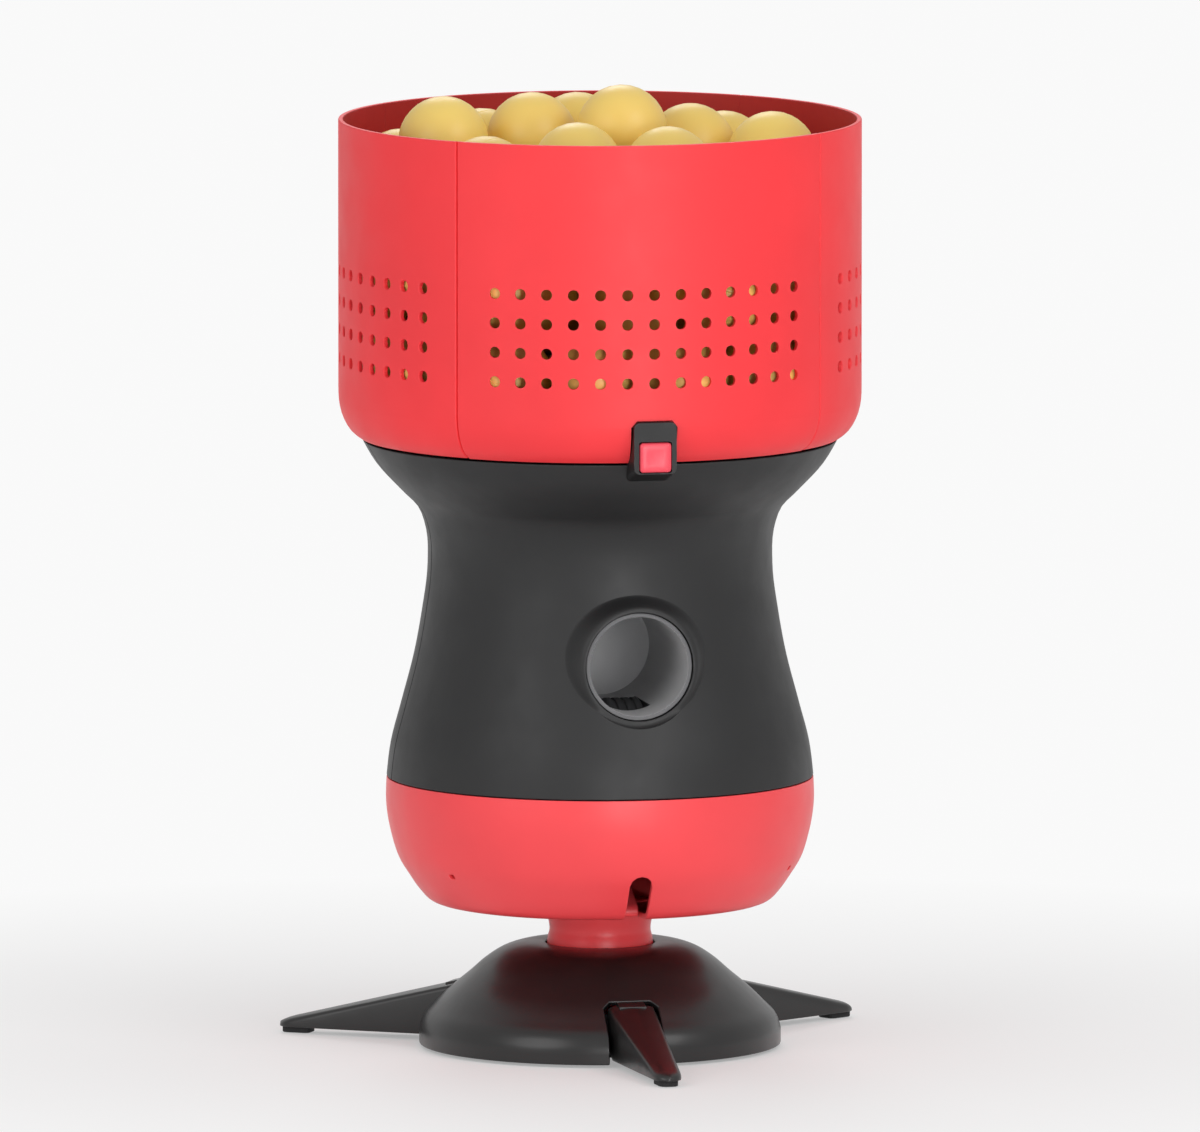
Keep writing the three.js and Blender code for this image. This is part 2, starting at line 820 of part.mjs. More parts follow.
// One half of the head's shell: side is -1 at the front and 1 at the back
function halfShell(side) {
  const shell = turned([...headOutline(0), ...headOutline(shellWall).reverse()]);
  const reach = flareRadius + overrun;
  const near = (side * fitGap) / 2;
  const far = side * reach;
  return shell.intersect(
    block(
      [-reach, Math.min(near, far), bowlTop - overrun],
      [reach, Math.max(near, far), shellTop + overrun],
    ),
  );
}

function frontShell() {
  const hole = barrelRadius + fitGap + exitRingWidth + fitGap;
  return halfShell(-1).subtract(alongY(hole, -flareRadius, 0, 0, exitHeight));
}

function rearShell() {
  const cut = block(
    [-panelHalfWidth, 0, panelBottom],
    [panelHalfWidth, flareRadius, panelTop],
  );
  return halfShell(1).subtract(cut);
}

function chassisPlate() {
  let plate = upright(chassisRadius, chassisBottom, chassisTop, shellSides);
  const halfWidth = wheelHalfWidth + ballRoom;
  plate = plate.subtract(
    block(
      [-halfWidth, -wheelDistance - wheelRadius, chassisBottom - overrun],
      [halfWidth, -wheelDistance + wheelRadius, chassisTop + overrun],
    ),
  );
  const postX = boardHalfWidth - boardPostInset;
  const postY = boardHalfDepth - boardPostInset;
  const boardTop = chassisBottom - boardDrop + boardThickness;
  for (const [x, y] of [
    [postX, postY],
    [-postX, postY],
    [postX, -postY],
    [-postX, -postY],
  ])
    plate = plate.add(
      upright(boardPostRadius, boardTop + fitGap, chassisBottom + overrun / 2, smallSides, x, y),
    );
  for (const angle of columnAngles) {
    const [x, y] = polar(bowlColumnDistance, angle);
    plate = plate.subtract(
      upright(
        bowlScrewRadius + fitGap,
        chassisBottom - overrun,
        chassisTop + overrun,
        smallSides,
        x,
        y,
      ),
    );
  }
  return plate;
}

function mainBoard() {
  const bottom = chassisBottom - boardDrop;
  return block(
    [-boardHalfWidth, -boardHalfDepth, bottom],
    [boardHalfWidth, boardHalfDepth, bottom + boardThickness],
  );
}

function batteryPack() {
  const w = batteryHalfWidth;
  const y0 = batteryBack - batteryDepth;
  const y1 = batteryBack;
  const outline = [
    [-w, y0],
    [w, y0],
    [w, y1 - batteryRound],
    [w - batteryRound, y1],
    [batteryRound - w, y1],
    [-w, y1 - batteryRound],
  ];
  return raised(outline, chassisTop, chassisTop + batteryHeight);
}

// The barrel with the two plates that carry the launch motors
function launchBarrel() {
  const tube = alongY(barrelRadius, -barrelLength, -fitGap, 0, exitHeight).subtract(
    alongY(pathRadius, -barrelLength - overrun, overrun, 0, exitHeight),
  );
  const slotHalfWidth = wheelHalfWidth + ballRoom;
  const slotReach = wheelRadius + ballRoom;
  const plateEnd = motorPlateStart + motorPlateThickness;
  const plateFoot = Math.sqrt(pathRadius ** 2 - motorPlateStart ** 2);
  const plateTop = wheelOffset + motorPlateHalfDepth;
  let barrel = tube;
  for (const side of [-1, 1]) {
    const level = (offset) => exitHeight + side * offset;
    const span = (a, b) => [Math.min(level(a), level(b)), Math.max(level(a), level(b))];
    const [slotLow, slotHigh] = span(ballRadius / 2, barrelRadius + overrun);
    const [plateLow, plateHigh] = span(plateFoot, plateTop);
    barrel = barrel.subtract(
      block(
        [-slotHalfWidth, -wheelDistance - slotReach, slotLow],
        [slotHalfWidth, -wheelDistance + slotReach, slotHigh],
      ),
    );
    barrel = barrel.add(
      block(
        [motorPlateStart, -wheelDistance - motorPlateHalfDepth, plateLow],
        [plateEnd, -wheelDistance + motorPlateHalfDepth, plateHigh],
      ),
    );
    barrel = barrel.subtract(
      alongX(
        motorNoseRadius + fitGap,
        motorPlateStart - overrun,
        plateEnd + overrun,
        -wheelDistance,
        level(wheelOffset),
        smallSides,
      ),
    );
  }
  return barrel;
}

function launchMotor(side) {
  const height = exitHeight + side * wheelOffset;
  const end = launchMotorStart + launchMotorLength;
  const can = alongX(launchMotorRadius, launchMotorStart, end, -wheelDistance, height);
  const nose = alongX(
    motorNoseRadius,
    motorPlateStart,
    launchMotorStart + overrun,
    -wheelDistance,
    height,
    smallSides,
  );
  const bore = alongX(
    wheelShaftRadius + fitGap,
    0,
    launchMotorStart + wheelShaftDepth + fitGap,
    -wheelDistance,
    height,
    smallSides,
  );
  return can.add(nose).subtract(bore);
}

function wheelHub(side) {
  const height = exitHeight + side * wheelOffset;
  const rim = wheelRadius - tyreThickness - fitGap;
  const disc = alongX(rim, -wheelHalfWidth, wheelHalfWidth, -wheelDistance, height);
  const shaft = alongX(
    wheelShaftRadius,
    0,
    launchMotorStart + wheelShaftDepth,
    -wheelDistance,
    height,
    smallSides,
  );
  return disc.add(shaft);
}

function wheelTyre(side) {
  const height = exitHeight + side * wheelOffset;
  const end = wheelHalfWidth + overrun;
  const inner = wheelRadius - tyreThickness;
  return alongX(wheelRadius, -wheelHalfWidth, wheelHalfWidth, -wheelDistance, height).subtract(
    alongX(inner, -end, end, -wheelDistance, height),
  );
}

// The stand that holds the barrel's inner end over the chassis plate
function barrelSaddle() {
  const start = -saddleSetback - saddleThickness;
  const stand = block(
    [-saddleHalfWidth, start, chassisTop],
    [saddleHalfWidth, -saddleSetback, exitHeight - saddleTopDrop],
  );
  return stand.subtract(
    alongY(barrelRadius + fitGap, start - overrun, overrun, 0, exitHeight),
  );
}

function exitRing() {
  const inner = barrelRadius + fitGap;
  const outer = inner + exitRingWidth;
  const front = -barrelLength - exitRingProud;
  return alongY(outer, front, front + exitRingDepth, 0, exitHeight).subtract(
    alongY(inner, front - overrun, 0, 0, exitHeight),
  );
}

// A quarter bend that turns a falling ball towards the barrel
function feedChute() {
  const ring = (radius) => {
    const geometry = new THREE.TorusGeometry(pocketDistance, radius, tubeSides, bendSides);
    geometry.rotateY(Math.PI / 2);
    return solidOf(geometry.translate(0, 0, exitHeight + pocketDistance));
  };
  const reach = pocketDistance + chuteRadius + overrun;
  const quarter = block(
    [-reach, 0, exitHeight + pocketDistance - reach],
    [reach, reach, exitHeight + pocketDistance],
  );
  return ring(chuteRadius).subtract(ring(pathRadius)).intersect(quarter);
}

function dropTube() {
  const bottom = exitHeight + pocketDistance + fitGap;
  const top = deckBottom - fitGap;
  return upright(chuteRadius, bottom, top, tubeSides, 0, pocketDistance).subtract(
    upright(pathRadius, bottom - overrun, top + overrun, tubeSides, 0, pocketDistance),
  );
}

function feedDeck() {
  const radius = headRadius(deckBottom, shellWall) - deckRimGap;
  const inner = cupRadius - cupWall;
  const deck = turned([
    [0, deckBottom],
    [radius, deckBottom],
    [radius, deckTop],
    [cupRadius, deckTop],
    [cupRadius, cupTop],
    [inner, cupTop],
    [inner, deckTop],
    [0, deckTop],
  ]);
  const hole = upright(
    pathRadius,
    deckBottom - overrun,
    deckTop + overrun,
    tubeSides,
    0,
    pocketDistance,
  );
  const shaftHole = upright(
    feedShaftRadius + runGap,
    deckBottom - overrun,
    deckTop + overrun,
    smallSides,
  );
  return deck.subtract(hole).subtract(shaftHole);
}

// A wheel with ball pockets, one of them over the drop hole, a domed hub and its shaft
function feedWheel() {
  const bottom = deckTop + feedWheelLift;
  const top = bottom + feedWheelThickness;
  let wheel = upright(feedWheelRadius, bottom, top, shellSides);
  for (let i = 0; i < pocketCount; i += 1) {
    const [x, y] = polar(pocketDistance, (2 * i * Math.PI) / pocketCount - frontAngle);
    wheel = wheel.subtract(
      upright(pathRadius + runGap, bottom - overrun, top + overrun, tubeSides, x, y),
    );
  }
  const cone = turned(
    [
      [0, top - overrun],
      [feedHubRadius, top - overrun],
      [feedHubRadius / 2, top + feedConeHeight],
      [0, top + feedConeHeight],
    ],
    smallSides,
  );
  const shaft = upright(
    feedShaftRadius,
    deckBottom - fitGap - feedShaftDepth,
    bottom + overrun,
    smallSides,
  );
  return wheel.add(cone).add(shaft);
}

function feedMotor() {
  const top = deckBottom - fitGap;
  const bore = feedShaftRadius + fitGap;
  return upright(feedMotorRadius, top - feedMotorLength, top).subtract(
    upright(bore, top - feedShaftDepth - fitGap, top + overrun, smallSides),
  );
}

// Inner or outer outline of the hopper's wall, from its foot to its rim
function hopperOutline(wall) {
  const foot = footOutlineShares.map(([out, up]) => [
    hopperFootRadius + (hopperRadius - hopperFootRadius) * out - wall,
    hopperBottom + hopperFootHeight * up,
  ]);
  return [...foot, [hopperRadius - wall, hopperTop - hopperLipHeight]];
}

// One quarter of the hopper's wall, round the +X axis, with its vent holes
function hopperPanel() {
  const columnAngle = ventSpacing / hopperRadius;
  const edgeAngle = Math.PI / panelCount - panelGap / hopperRadius / 2;
  const marks = [-edgeAngle];
  for (let i = 0; i <= ventColumns; i += 1) marks.push((i - ventColumns / 2) * columnAngle);
  marks.push(edgeAngle);
  const lip = hopperWall / 2;
  const outline = [
    ...hopperOutline(0),
    [hopperRadius - lip / 2, hopperTop],
    [hopperInnerRadius + lip / 2, hopperTop],
    ...hopperOutline(hopperWall).reverse(),
  ];
  const positions = marks.flatMap((angle) =>
    outline.map(([radius, height]) => [...polar(radius, angle), height]),
  );
  const around = outline.length;
  const faces = [];
  for (let m = 0; m + 1 < marks.length; m += 1)
    for (let i = 0; i < around; i += 1) {
      const next = (i + 1) % around;
      const [a, b] = [m * around + i, m * around + next];
      const [c, d] = [a + around, b + around];
      faces.push([a, c, d], [a, d, b]);
    }
  const flat = THREE.ShapeUtils.triangulateShape(
    outline.map(([radius, height]) => new THREE.Vector2(radius, height)),
    [],
  );
  const last = (marks.length - 1) * around;
  for (const [a, b, c] of flat) faces.push([a, b, c], [last + c, last + b, last + a]);
  const geometry = new THREE.BufferGeometry();
  geometry.setAttribute(
    "position",
    new THREE.BufferAttribute(new Float32Array(positions.flat()), 3),
  );
  geometry.setIndex(faces.flat());
  return solidOf(geometry).subtract(ventCutter(columnAngle));
}

// The pins that punch a panel's vent holes
function ventCutter(columnAngle) {
  const lowest = hopperBottom + hopperFootHeight + ventRise;
  const pins = [];
  for (let row = 0; row < ventRows; row += 1)
    for (let column = 0; column < ventColumns; column += 1) {
      const geometry = new THREE.CylinderGeometry(
        ventRadius,
        ventRadius,
        2 * (hopperWall + overrun),
        ventSides,
      );
      geometry.rotateY(Math.PI / ventSides).rotateZ(Math.PI / 2);
      geometry.translate(hopperRadius, 0, lowest + row * ventRowSpacing);
      geometry.rotateZ((column - (ventColumns - 1) / 2) * columnAngle);
      pins.push(solidOf(geometry));
    }
  return join(pins);
}

function latchNotch() {
  const halfWidth = latchHalfWidth + latchNotchGap;
  return block(
    [-halfWidth, -hopperRadius - overrun, hopperBottom - overrun],
    [halfWidth, 0, latchTop + latchNotchGap],
  );
}

// The sloping floor that leads the balls to the feed wheel
function hopperFloor() {
  const inner = cupRadius - cupWall;
  const low = cupTop + fitGap;
  const high = low + hopperFloorRise;
  const outline = hopperOutline(hopperWall + fitGap);
  const above = outline.findIndex(([, level]) => level >= high);
  const outer = outline[Math.max(above - 1, 0)][0];
  return turned([
    [inner, low],
    [cupRadius, low],
    [outer, high],
    [outer, high + hopperFloorWall],
    [inner, low + hopperFloorWall],
  ]);
}

function latchBezel() {
  const outer = hopperRadius + latchProud;
  const inner = outer - latchDepth;
  const w = latchHalfWidth;
  const outline = [
    [-w, latchBottom],
    [w, latchBottom],
    [w, latchTop - latchRound],
    [w - latchRound, latchTop],
    [latchRound - w, latchTop],
    [-w, latchTop - latchRound],
  ];
  const tab = sidewise(outline, -outer, -inner);
  const behind = turned([
    [0, bowlTop],
    ...headOutline(-fitGap),
    ...hopperOutline(hopperWall),
    [0, hopperTop - hopperLipHeight],
  ]);
  const pocket = latchButtonBlock(latchNotchGap / 2, -outer - overrun, -outer + latchPocketDepth);
  return tab.subtract(behind).subtract(pocket);
}

function latchButtonBlock(room, y0, y1) {
  const halfWidth = latchButtonHalfWidth + room;
  const halfHeight = latchButtonHalfHeight + room;
  return block(
    [-halfWidth, y0, latchButtonHeight - halfHeight],
    [halfWidth, y1, latchButtonHeight + halfHeight],
  );
}

function latchButton() {
  const front = -hopperRadius - latchProud - latchButtonProud;
  return latchButtonBlock(0, front, front + latchButtonLength);
}

function controlPanel() {
  const back = panelFace - panelThickness;
  const plate = block(
    [fitGap - panelHalfWidth, back, panelBottom + fitGap],
    [panelHalfWidth - fitGap, panelFace, panelTop - fitGap],
  );
  const hole = (radius, x) =>
    alongY(radius + fitGap, back - overrun, panelFace + overrun, x, panelMiddle, smallSides);
  return plate
    .subtract(hole(jackRadius, jackX))
    .subtract(hole(powerRadius, powerOffset))
    .subtract(hole(lensRadius, 0));
}

function dcJack() {
  const front = panelFace - panelThickness - fitGap;
  const body = block(
    [jackX - jackBodyHalfWidth, front - jackBodyLength, panelMiddle - jackBodyHalfWidth],
    [jackX + jackBodyHalfWidth, front, panelMiddle + jackBodyHalfWidth],
  );
  return body.subtract(
    alongY(jackRadius, front - jackDepth, front + overrun, jackX, panelMiddle, smallSides),
  );
}

function powerButton() {
  const front = panelFace + powerProud;
  return alongY(powerRadius, front - powerLength, front, powerOffset, panelMiddle, smallSides);
}

function statusLens() {
  const front = panelFace + lensProud;
  return alongY(lensRadius, front - panelThickness, front, 0, panelMiddle, smallSides);
}

// The whole assembly
const robot = new THREE.Group();
robot.name = "table_tennis_robot";

const base = new THREE.Group();
base.add(meshOf("non_slip_pad", basePad(), rubber));
base.add(meshOf("base_plate", basePlate(), darkPlastic));
base.add(meshOf("base_cover", baseCover(), glossBlack));
base.add(meshOf("yaw_bearing", yawBearing(), steel));
base.add(meshOf("yaw_motor", yawMotor(), motorSteel));
base.add(meshOf("yaw_pinion", yawPinion(), steel));
Object.values(legAngles).forEach((angle, i) =>
  base.add(meshOf(`base_screw_${i + 1}`, baseScrew(angle), steel)),
);
for (const [side, angle] of Object.entries(legAngles)) {
  const limb = new THREE.Group();
  limb.rotation.z = angle;
  limb.add(meshOf(`leg_${side}`, leg(), glossBlack));
  limb.add(meshOf(`leg_pad_${side}`, legPad(), rubber));
  limb.add(meshOf(`leg_pin_${side}`, legPin(), steel));
  base.add(limb);
}
robot.add(base);

const turntable = new THREE.Group();
turntable.add(meshOf("turntable_neck", turntableNeck(), redPlastic));
turntable.add(meshOf("yaw_gear", yawGear(), greyPlastic));
turntable.add(meshOf("tilt_pin", tiltPin(), steel));
robot.add(turntable);

const head = new THREE.Group();
head.add(meshOf("lower_bowl", lowerBowl(), redPlastic));
head.add(meshOf("front_shell", frontShell(), blackPlastic));
head.add(meshOf("rear_shell", rearShell(), blackPlastic));
head.add(meshOf("chassis_plate", chassisPlate(), darkPlastic));
columnAngles.forEach((angle, i) =>
  head.add(meshOf(`bowl_screw_${i + 1}`, bowlScrew(angle), steel)),
);
head.add(meshOf("main_board", mainBoard(), boardGreen));
head.add(meshOf("battery_pack", batteryPack(), batteryBlue));
head.add(meshOf("launch_barrel", launchBarrel(), greyPlastic));
head.add(meshOf("barrel_saddle", barrelSaddle(), darkPlastic));
head.add(meshOf("exit_ring", exitRing(), greyPlastic));
head.add(meshOf("feed_chute", feedChute(), greyPlastic));
head.add(meshOf("drop_tube", dropTube(), greyPlastic));
head.add(meshOf("feed_deck", feedDeck(), darkPlastic));
head.add(meshOf("feed_motor", feedMotor(), motorSteel));
head.add(meshOf("feed_wheel", feedWheel(), redPlastic));
for (const [level, side] of [
  ["upper", 1],
  ["lower", -1],
]) {
  head.add(meshOf(`${level}_launch_motor`, launchMotor(side), motorSteel));
  head.add(meshOf(`${level}_wheel_hub`, wheelHub(side), darkPlastic));
  head.add(meshOf(`${level}_wheel_tyre`, wheelTyre(side), rubber));
}
head.add(meshOf("latch_bezel", latchBezel(), blackPlastic));
head.add(meshOf("latch_button", latchButton(), redPlastic));
head.add(meshOf("control_panel", controlPanel(), darkPlastic));
head.add(meshOf("dc_jack", dcJack(), darkPlastic));
head.add(meshOf("power_button", powerButton(), greyPlastic));
head.add(meshOf("status_lens", statusLens(), lensClear));
robot.add(head);

const hopper = new THREE.Group();
hopper.add(meshOf("hopper_floor", hopperFloor(), redPlastic));
["front", "right", "back", "left"].forEach((side, i) => {
  const turn = frontAngle + (i * 2 * Math.PI) / panelCount;
  const panel = turnedBy(hopperPanel(), turn);
  const solid = side === "front" ? panel.subtract(latchNotch()) : panel;
  hopper.add(meshOf(`hopper_panel_${side}`, solid, redPlastic));
});
robot.add(hopper);

export default robot;
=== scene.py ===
from math import acos, asin, atan2, ceil, copysign, cos, hypot, pi, radians, sin, sqrt

import bmesh
import bpy
import numpy as np
from mathutils import Matrix, Vector

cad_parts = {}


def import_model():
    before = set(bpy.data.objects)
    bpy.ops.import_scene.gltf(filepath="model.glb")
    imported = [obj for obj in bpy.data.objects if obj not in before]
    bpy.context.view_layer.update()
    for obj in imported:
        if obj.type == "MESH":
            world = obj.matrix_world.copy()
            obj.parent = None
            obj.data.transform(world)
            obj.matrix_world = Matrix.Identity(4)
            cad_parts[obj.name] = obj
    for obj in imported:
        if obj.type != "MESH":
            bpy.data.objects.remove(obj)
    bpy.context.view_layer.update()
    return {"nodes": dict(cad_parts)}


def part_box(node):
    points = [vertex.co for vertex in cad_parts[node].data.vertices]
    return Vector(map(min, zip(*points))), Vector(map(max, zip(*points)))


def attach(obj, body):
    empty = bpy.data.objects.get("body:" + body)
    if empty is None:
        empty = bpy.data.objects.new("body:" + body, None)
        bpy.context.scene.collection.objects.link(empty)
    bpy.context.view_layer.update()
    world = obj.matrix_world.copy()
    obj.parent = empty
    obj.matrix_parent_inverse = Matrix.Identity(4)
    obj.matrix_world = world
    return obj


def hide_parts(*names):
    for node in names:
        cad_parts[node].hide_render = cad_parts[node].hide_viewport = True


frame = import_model()

MM = 0.001
FRONT = radians(-90)


# Sizes from the frame
def span(node, axis):
    """Where a node starts and ends along an axis."""
    return [getattr(corner, axis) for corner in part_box(node)]


BASE_RADIUS = span("base_cover", "x")[1]
BASE_BOTTOM, BASE_TOP = span("base_cover", "z")
LEG_REACH = -span("leg_front", "y")[0]
LEG_UNDERSIDE, LEG_TOP = span("leg_front", "z")
BOWL_BOTTOM, BOWL_TOP = span("lower_bowl", "z")
SHELL_BOTTOM, SHELL_TOP = span("front_shell", "z")
FLARE_RADIUS = -span("front_shell", "y")[0]
HOPPER_BOTTOM, HOPPER_TOP = span("hopper_panel_front", "z")
HOPPER_RADIUS = -span("hopper_panel_front", "y")[0]
RING_FRONT, RING_BACK = span("exit_ring", "y")
EXIT_HEIGHT = sum(span("exit_ring", "z")) / 2
DECK_BOTTOM, CUP_TOP = span("feed_deck", "z")
DECK_RADIUS = span("feed_deck", "x")[1]
FLOOR_RADIUS = span("hopper_floor", "x")[1]
TILT_HEIGHT = sum(span("tilt_pin", "z")) / 2
NECK_BOTTOM = span("turntable_neck", "z")[0]
PANEL_BACK, PANEL_FACE = span("control_panel", "y")
PANEL_HEIGHT = sum(span("control_panel", "z")) / 2

# Base
BASE_WALL = 2.5 * MM
NECK_HOLE = 24.3 * MM
DOME_SHARES = [
    (1, 0.17), (0.975, 0.29), (0.91, 0.41), (0.825, 0.555),
    (0.725, 0.7), (0.634, 0.837), (0.54, 0.94), (0.45, 0.99),
]
LEG_SLOT_HALF = 12.3 * MM
LEG_SLOT_TOP = 28.3 * MM
LEG_SLOT_CORNER = 3.5 * MM

# Legs, laid along +X
LEG_ANGLES = {"front": FRONT, "right": FRONT + radians(120), "left": FRONT + radians(240)}
LEG_PIVOT = (58 * MM, 14 * MM)
LEG_KNUCKLE = 7 * MM
LEG_KNUCKLE_HALF = 6 * MM
LEG_ROOT = 66 * MM
LEG_ROOT_HALF = 11 * MM
LEG_CREST = LEG_PIVOT[0] + 6 * MM
LEG_HEEL = (6 * MM, 6.5 * MM)
LEG_TIP_HALF = 6 * MM
LEG_TIP_HEIGHT = 6 * MM
LEG_TIP_ROUND = 7 * MM
LEG_EDGE = 1.6 * MM
FOOT_LINE = [(134, -5, 3), (147.5, -4.2, 3.6), (147.5, 4.2, 3.6), (134, 5, 3)]

# Neck and tilt joint
NECK_RADIUS = 23.5 * MM
NECK_FLARE = 25.2 * MM
SPINDLE_RADIUS = 7.7 * MM
COLUMN_RADIUS = 13 * MM
COLUMN_BOTTOM = 10.3 * MM
SHOULDER = 31.3 * MM
NECK_TOP = 66.6 * MM
TILT_BLOCK_HALF = 26 * MM
TILT_BLOCK_RADIUS = 9 * MM
FIN_HALF = 4 * MM
FIN_LINE = [
    (0, 68, 0), (-40, 68, 8), (-54, 64.5, 3), (-63, 64.5, 2), (-63, 69, 3), (-44, 78, 6), (0, 78, 0)
]

# Bowl
BOWL_RADIUS = 94.7 * MM
BOWL_WALL = 2.6 * MM
BOWL_HOLE = 30.5 * MM
BOWL_SHARES = [
    (0.56, 0), (0.686, 0), (0.8, 0.035), (0.843, 0.11), (0.893, 0.232),
    (0.933, 0.34), (0.978, 0.571), (0.998, 0.786), (0.996, 1),
]
TILT_SLOT_HALF = 5 * MM
TILT_SLOT_TOP = 85 * MM
SCREW_TURNS = (-30, 90, 210)
SCREW_HEIGHT = 82 * MM
SCREW_HOLE = 1.7 * MM
EAR_THICKNESS = 6 * MM
EAR_RADIUS = 10 * MM

# Head shells
SHELL_WALL = 2.5 * MM
SHELL_SEAM = 0.5 * MM
SEAM_OVERLAP = 0.4 * MM
WAIST_RADIUS = 76.2 * MM
WAIST_SHARE = 0.627
BODY_SHARES = [(0, 1), (0.15, 0.906), (0.35, 0.64), (0.58, 0.33), (0.78, 0.14), (1, 0)]
FLARE_SHARES = [(0.3, 0.03), (0.46, 0.14), (0.6, 0.4), (0.84, 0.82), (1, 1)]
EXIT_RADIUS = 26.6 * MM

# Launcher
BORE_RADIUS = 22 * MM
BARREL_RADIUS = 23.8 * MM
RING_INNER = 24.1 * MM
RING_OUTER = 26.3 * MM
COLLAR_LIP = 25.2 * MM
COLLAR_REACH = 27.8 * MM
COLLAR_SLOPE = 0.5
COLLAR_SINK = 0.25 * MM
WHEEL_RADIUS = 22 * MM
WHEEL_DISTANCE = 44 * MM
WHEEL_OFFSET = 40.3 * MM
WHEEL_HALF = 8 * MM
TYRE_THICKNESS = 5 * MM
GROOVES = (-4 * MM, 0, 4 * MM)
GROOVE_LINE = [(-0.8, 0), (-0.5, 0.8), (0.5, 0.8), (0.8, 0)]
PLATE_SPAN = (10.3 * MM, 12.8 * MM)
PLATE_HALF = 15 * MM

# Feed
DECK_THICKNESS = 3 * MM
CUP_INNER = 62.8 * MM
CUP_OUTER = 65.3 * MM
POCKET_DISTANCE = 42 * MM
POCKET_RADIUS = 22.8 * MM
POCKET_COUNT = 4
FEED_RADIUS = 62 * MM
FEED_BOTTOM = 264 * MM
FEED_TOP = 280 * MM
FEED_HUB_RADIUS = 16 * MM
FEED_HUB_TOP = 294 * MM
FEED_SHAFT = 2.5 * MM

# Hopper
FOOT_HEIGHT = 22 * MM
FOOT_WIDENING = 9.7 * MM
FOOT_SHARES = [(0, 0), (0.42, 0.14), (0.79, 0.41), (0.96, 0.69), (1, 1)]
HOPPER_WALL = 2.2 * MM
PANEL_GAP = 1.1 * MM
PANEL_OVERLAP = 0.25 * MM
VENT_COLUMNS = 13
VENT_ROWS = 4
VENT_SPACING = 11.95 * MM
VENT_ROW_SPACING = 13 * MM
VENT_LOWEST = 307 * MM
VENT_RADIUS = 2.5 * MM
VENT_CELLS = 4
FLOOR_LOW = 274.3 * MM
FLOOR_HIGH = 288.3 * MM
FLOOR_WALL = 2.2 * MM

# Latch
LATCH_HALF = 9.8 * MM
LATCH_BOTTOM = 262 * MM
LATCH_TOP = 290 * MM
LATCH_CHIN = 0.9 * MM
LATCH_FRONT = -117.3 * MM
LATCH_BACK = -105.3 * MM
LATCH_ROUND = 3 * MM
LATCH_POCKET = 6.9 * MM
NOTCH_HALF = 10.4 * MM
NOTCH_TOP = 290.6 * MM
NOTCH_CELLS = 4
BUTTON_HALF = (7 * MM, 6.5 * MM)
BUTTON_HEIGHT = 274.5 * MM
BUTTON_ROOM = 0.3 * MM
BUTTON_PROUD = 1.4 * MM
BUTTON_STEPS = [(5, 0), (1.1, 0), (0.4, 0.4), (0, 1.3), (0.35, 3.4)]

# Rear panel
FRAME_PROUD = 0.45 * MM
FRAME_OVERLAP = 1 * MM
FRAME_WALL = 1.2 * MM
PANEL_HALF = (21.7 * MM, 10.7 * MM)
PANEL_CORNER = 2.4 * MM
CUT_HALF = (22 * MM, 11 * MM)
JACK_X = -13 * MM
JACK_RADIUS = 3.6 * MM
JACK_HALF = (5.5 * MM, 5.5 * MM)
JACK_DEPTH = 10 * MM
POWER_X = 12 * MM
POWER_RADIUS = 5 * MM
LENS_RADIUS = 1.8 * MM

# Balls: the top ones across the view, away from it, and up, in millimetres
BALL_RADIUS = 20 * MM
BALL_SEAM = 0.12 * MM
CROWN = [
    (-69, -8, 402.5), (-30, 14, 402), (9.6, -6, 407.5), (40, 24, 396), (76, 0, 395),
    (55, 58, 389), (-52, 50, 391), (-10, 52, 398), (12, 72, 387), (88, 34, 380),
    (-88, 30, 384), (-50, -46, 389), (-10, -46, 395), (30, -43, 393), (70, -46, 387),
]
LOOSE_BALLS = 58
LOOSE_SPAN = (305 * MM, 365 * MM)
SETTLING_ROUNDS = 900
SEED = 12

# Camera
CAMERA_AZIMUTH = radians(-12)
CAMERA_ELEVATION = radians(6.8)
CAMERA_TARGET = (0, 0, 0.5 * (HOPPER_TOP + 14 * MM))
LENS = 1200
SENSOR = 36
VIEW_HEIGHT = 0.5
VIEW_SHAPE = 1132 / 1200


# Outlines
def curve(points, count):
    """That many points on one smooth curve through the given points."""
    p = np.array(points, float)
    step = np.linalg.norm(np.diff(p, axis=0), axis=1)
    run = np.concatenate([[0], np.cumsum(step)])
    slope = np.diff(p, axis=0) / step[:, None]
    tangent = np.empty_like(p)
    before, after = step[:-1, None], step[1:, None]
    tangent[1:-1] = (slope[:-1] * after + slope[1:] * before) / (before + after)
    tangent[0] = 1.5 * slope[0] - 0.5 * tangent[1]
    tangent[-1] = 1.5 * slope[-1] - 0.5 * tangent[-2]
    at = np.linspace(0, run[-1], count)
    k = np.clip(np.searchsorted(run, at, side="right") - 1, 0, len(step) - 1)
    s = ((at - run[k]) / step[k])[:, None]
    h = step[k][:, None]
    ends = (1 + 2 * s) * (1 - s) ** 2 * p[k] + s * s * (3 - 2 * s) * p[k + 1]
    return ends + s * (1 - s) ** 2 * h * tangent[k] - s * s * (1 - s) * h * tangent[k + 1]


def rounded(corners, steps=5):
    """A closed outline from corners (x, y, setback): a soft curve starts that far before each."""
    points = []
    for i, (x, y, setback) in enumerate(corners):
        corner = np.array([x, y], float)
        if not setback:
            points.append(corner)
            continue
        before = np.array(corners[i - 1][:2]) - corner
        after = np.array(corners[(i + 1) % len(corners)][:2]) - corner
        start = corner + before * min(setback / np.linalg.norm(before), 0.5)
        end = corner + after * min(setback / np.linalg.norm(after), 0.5)
        for s in np.linspace(0, 1, steps):
            points.append((1 - s) ** 2 * start + 2 * s * (1 - s) * corner + s * s * end)
    return points


